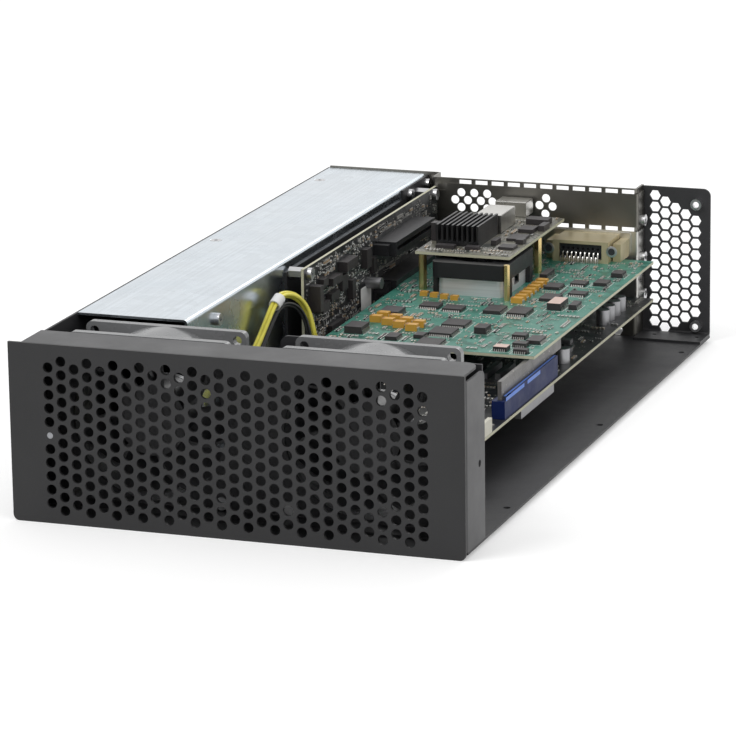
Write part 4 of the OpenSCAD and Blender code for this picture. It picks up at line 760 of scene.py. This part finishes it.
def lower_card_details():
    """Passives, contacts, painted highlight strips along the socket's top edge and side, and the pale cut
    edges of both cards.
    """
    taken = flat(solids("lower_card_parts"), grow=0.7) + flat(solids("lower_card_socket"), grow=0.8)
    taken += flat(solids("lower_card_guide"), grow=0.5) + flat(solids("lower_card_bracket"), grow=0.5)
    s = Shape(origin=(0, 0, LOW_TOP))
    scatter(s, LOW_AREA, taken, 900, 31)
    s.build("lower_card_passives", "lower_card", "plated", MATERIALS["plated"], M_TAN, M_DARK, M_GREY)
    for body, top, y0 in (("lower_card", LOW_TOP, 104), ("upper_card", CARD_TOP, 181)):
        rim = Shape()
        rim.block((CARD_RIGHT - EDGE_SKIN, y0, top - 1.5), (CARD_RIGHT, 391, top - 0.1))
        rim.block((-26, y0 - 0.03, top - 1.5), (CARD_RIGHT, y0 + 0.02, top - 0.1))
        rim.build(body + "_edge", body, "ivory", M_EDGE)
    (lo, hi), = solids("lower_card_socket")
    # Thin light-blue strips on the socket's top edge and side face: painted highlight on the blue socket.
    highlight_strips = Shape()
    highlight_strips.block((hi[0] - 1.6, lo[1] + 3, hi[2] - 0.02), (hi[0] - 0.6, hi[1] - 1, hi[2] + 0.06), 0, 0.02)
    span = hi[1] - lo[1]
    for a, b in ((0.02, 0.36), (0.42, 0.66)):
        highlight_strips.block((hi[0] - 0.01, lo[1] + a * span, hi[2] - 2.2),
                   (hi[0] + 0.06, lo[1] + b * span, hi[2] - 0.3), 0, 0.02)
    highlight_strips.build("socket_painted_highlights", "lower_card", "socket_blue", M_SOCKET_HIGHLIGHT)
    edge = Shape()
    contacts(edge, LOW_TOP)
    edge.build("lower_card_contacts", "lower_card", "gold_shell", MATERIALS["gold_shell"])


# The slot board stands upright, so its own plane is drawn in y and z on this face.
BOARD_X = -38.0
ON_BOARD = ((0, 1, 0), (0, 0, 1), (1, 0, 0), (BOARD_X, 0, 0))
BOARD_AREA = (195, 32, 397, 78.5)
HEADER_PLACE = (274, 34, 292, 53)
LABEL_LOW, LABEL_HIGH = (275.5, 36, 0), (290.7, 50.7, 0.12)

# Rows of plated holes: where each starts, and how many it has.
HOLE_ROWS = ((232, 74.5, 22), (262, 60.5, 16), (300, 73.6, 30), (296, 54.5, 26), (300, 33.2, 22))
HOLE_PITCH = 1.9
HOLE_RIM = ((0.62, 0), (0.62, 0.04), (0.36, 0.05))


def slot_board_details():
    """Passives, print, plated holes, slot contacts and cut edges of the slot board."""
    parts = solids("backplane_chips") + solids("backplane_capacitors") + solids("slot_connectors")
    parts += solids("power_header") + solids("backplane_screws")
    taken = flat(parts, 1, 2, 0.5) + [HEADER_PLACE]
    s = Shape(*ON_BOARD)
    scatter(s, BOARD_AREA, taken, 1500, 41)
    s.build("slot_board_passives", "chassis", "plated", MATERIALS["plated"], M_TAN, M_DARK, M_GREY)
    label = Shape(*ON_BOARD)
    label.block(LABEL_LOW, LABEL_HIGH, 0, 0.05)
    rng = random.Random(3)
    for _ in range(900):
        y, z = rng.uniform(197, 292), rng.uniform(34, 77.5)
        if is_free((y - 0.4, z - 0.4, y + 2.4, z + 1.1), taken):
            if rng.random() < 0.5:
                label.block((y, z, 0), (y + rng.uniform(0.6, 2.0), z + 0.5, PRINT))
            else:
                label.block((y, z, 0), (y + 0.45, z + rng.uniform(0.6, 1.5), PRINT))
    for y, z, n in HOLE_ROWS:
        for j in range(n):
            label.lathe((y + j * HOLE_PITCH, z, 0), HOLE_RIM, 1, 10)
    label.build("slot_board_label", "chassis", "tie_white", M_WHITE, MATERIALS["plated"])
    s = Shape()
    for lo, hi in solids("slot_connectors"):
        mid = (lo[2] + hi[2]) / 2
        for j in range(CONTACT_COUNT):
            y = CONTACT_START + j * CONTACT_PITCH
            for sign in (-1, 1):
                z = mid + sign * 1.02
                s.ribbon([(-35.0, y, z), (-29.5, y, z), (-27.4, y, z)], (0, 1, 0), 0.6, 0.04)
    s.build("slot_contacts", "chassis", "gold_shell", MATERIALS["gold_shell"])
    edge = Shape()
    edge.block((-39.5, 193.6, 79.5), (-38.1, 397.9, 79.53))
    edge.block((-39.5, 193.47, 6.3), (-38.1, 193.5, 79.4))
    edge.build("slot_board_edge", "chassis", "ivory", M_EDGE)


# ---- wires: each route in millimetres, then the wire's radius, how many there are, and the slot ----
ROUTE_STEPS = 4
TWIST_PER_STEP = 0.045
SPREAD = {2: 1.0, 3: 1.16}
WIRE_ROUTES = {
    "power_leads": ([
        (-77, 252.8, 20), (-77, 240, 20), (-74, 222, 19), (-71, 204, 18),
        (-68, 186, 17), (-65.5, 168, 17), (-63, 150, 17), (-61, 132, 18),
        (-59.5, 114, 19), (-58.5, 98, 20.5), (-57.5, 84, 22.5), (-55.5, 73, 24.5),
        (-51, 65, 26), (-46, 63.5, 27), (-43, 69.5, 28.5), (-42.2, 81, 31),
        (-42.4, 96, 35), (-42.8, 112, 40), (-43.4, 128, 46), (-43.6, 143, 53),
        (-43.2, 154, 60.5), (-42.4, 162, 67.5), (-41.5, 170.5, 71.2), (-40.2, 180, 69.8),
        (-38, 187, 66), (-35.6, 190.8, 60), (-33.8, 191.4, 53), (-32.9, 192, 47),
        (-32.5, 196, 41.5), (-32.4, 201.5, 37.6), (-32.4, 206.4, 34.4), (-32.4, 206.4, 30),
    ], 0.92, 3, "lead_yellow"),
    "ground_leads": ([
        (-71, 252.8, 14), (-71, 240, 14), (-68.5, 222, 13.5), (-66.5, 204, 13),
        (-64.5, 186, 12.5), (-62.5, 168, 12.5), (-60.5, 150, 12.5), (-58.5, 132, 13),
        (-57.4, 114, 14), (-56.6, 98, 15.5), (-56.4, 84, 17.5), (-55, 73.5, 19.5),
        (-51.6, 66, 21), (-47, 64.4, 22), (-43.6, 71, 23.5), (-42.6, 82, 26.5),
        (-42.4, 97, 30.5), (-42.4, 113, 35.5), (-42.8, 130, 41.8), (-43, 145.5, 49.4),
        (-42.6, 157, 57.4), (-41.8, 165, 63.6), (-40.8, 171.8, 66.2), (-39.2, 178.4, 65.2),
        (-37.2, 183.6, 61.8), (-35.2, 186.4, 56.4), (-33.8, 187, 50.4), (-33, 188, 44.6),
        (-32.6, 191.5, 39.6), (-32.4, 196.5, 36.4), (-32.4, 200.4, 33.8), (-32.4, 200.4, 30),
    ], 0.7, 2, "lead_black"),
}


def rounded(points, steps):
    """Catmull-Rom curve through the points."""
    pts = [Vector(p) for p in points]
    pts = [2 * pts[0] - pts[1]] + pts + [2 * pts[-1] - pts[-2]]
    out = []
    for i in range(1, len(pts) - 2):
        a, b, c, d = pts[i - 1:i + 3]
        for k in range(steps):
            t = k / steps
            out.append(0.5 * (2 * b + (c - a) * t + (2 * a - 5 * b + 4 * c - d) * t * t
                              + (3 * b - a - 3 * c + d) * t ** 3))
    return out + [pts[-2]]


def wires():
    """Each CAD lead stands for a bundle: thin wires twisted slowly round its route."""
    for node, (points, r, count, slot) in WIRE_ROUTES.items():
        line = rounded(points, ROUTE_STEPS)
        side = Vector((0, 0, 1))
        sides = []
        for i, p in enumerate(line):
            along = (line[min(i + 1, len(line) - 1)] - line[max(i - 1, 0)]).normalized()
            side = (side - side.dot(along) * along).normalized()
            sides.append((side.copy(), along.cross(side)))
        spread = r * SPREAD[count]
        for w in range(count):
            path = []
            for i, p in enumerate(line):
                turn = math.tau * w / count + i * TWIST_PER_STEP
                path.append(p + spread * (math.cos(turn) * sides[i][0] + math.sin(turn) * sides[i][1]))
            wire = Shape()
            wire.tube(path, r)
            ob = wire.build(f"{node}_wire_{w + 1}", "chassis", slot, MATERIALS[slot])
            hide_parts(node)


upper_card_details()
port_details()
small_board_details()
lower_card_details()
slot_board_details()
wires()
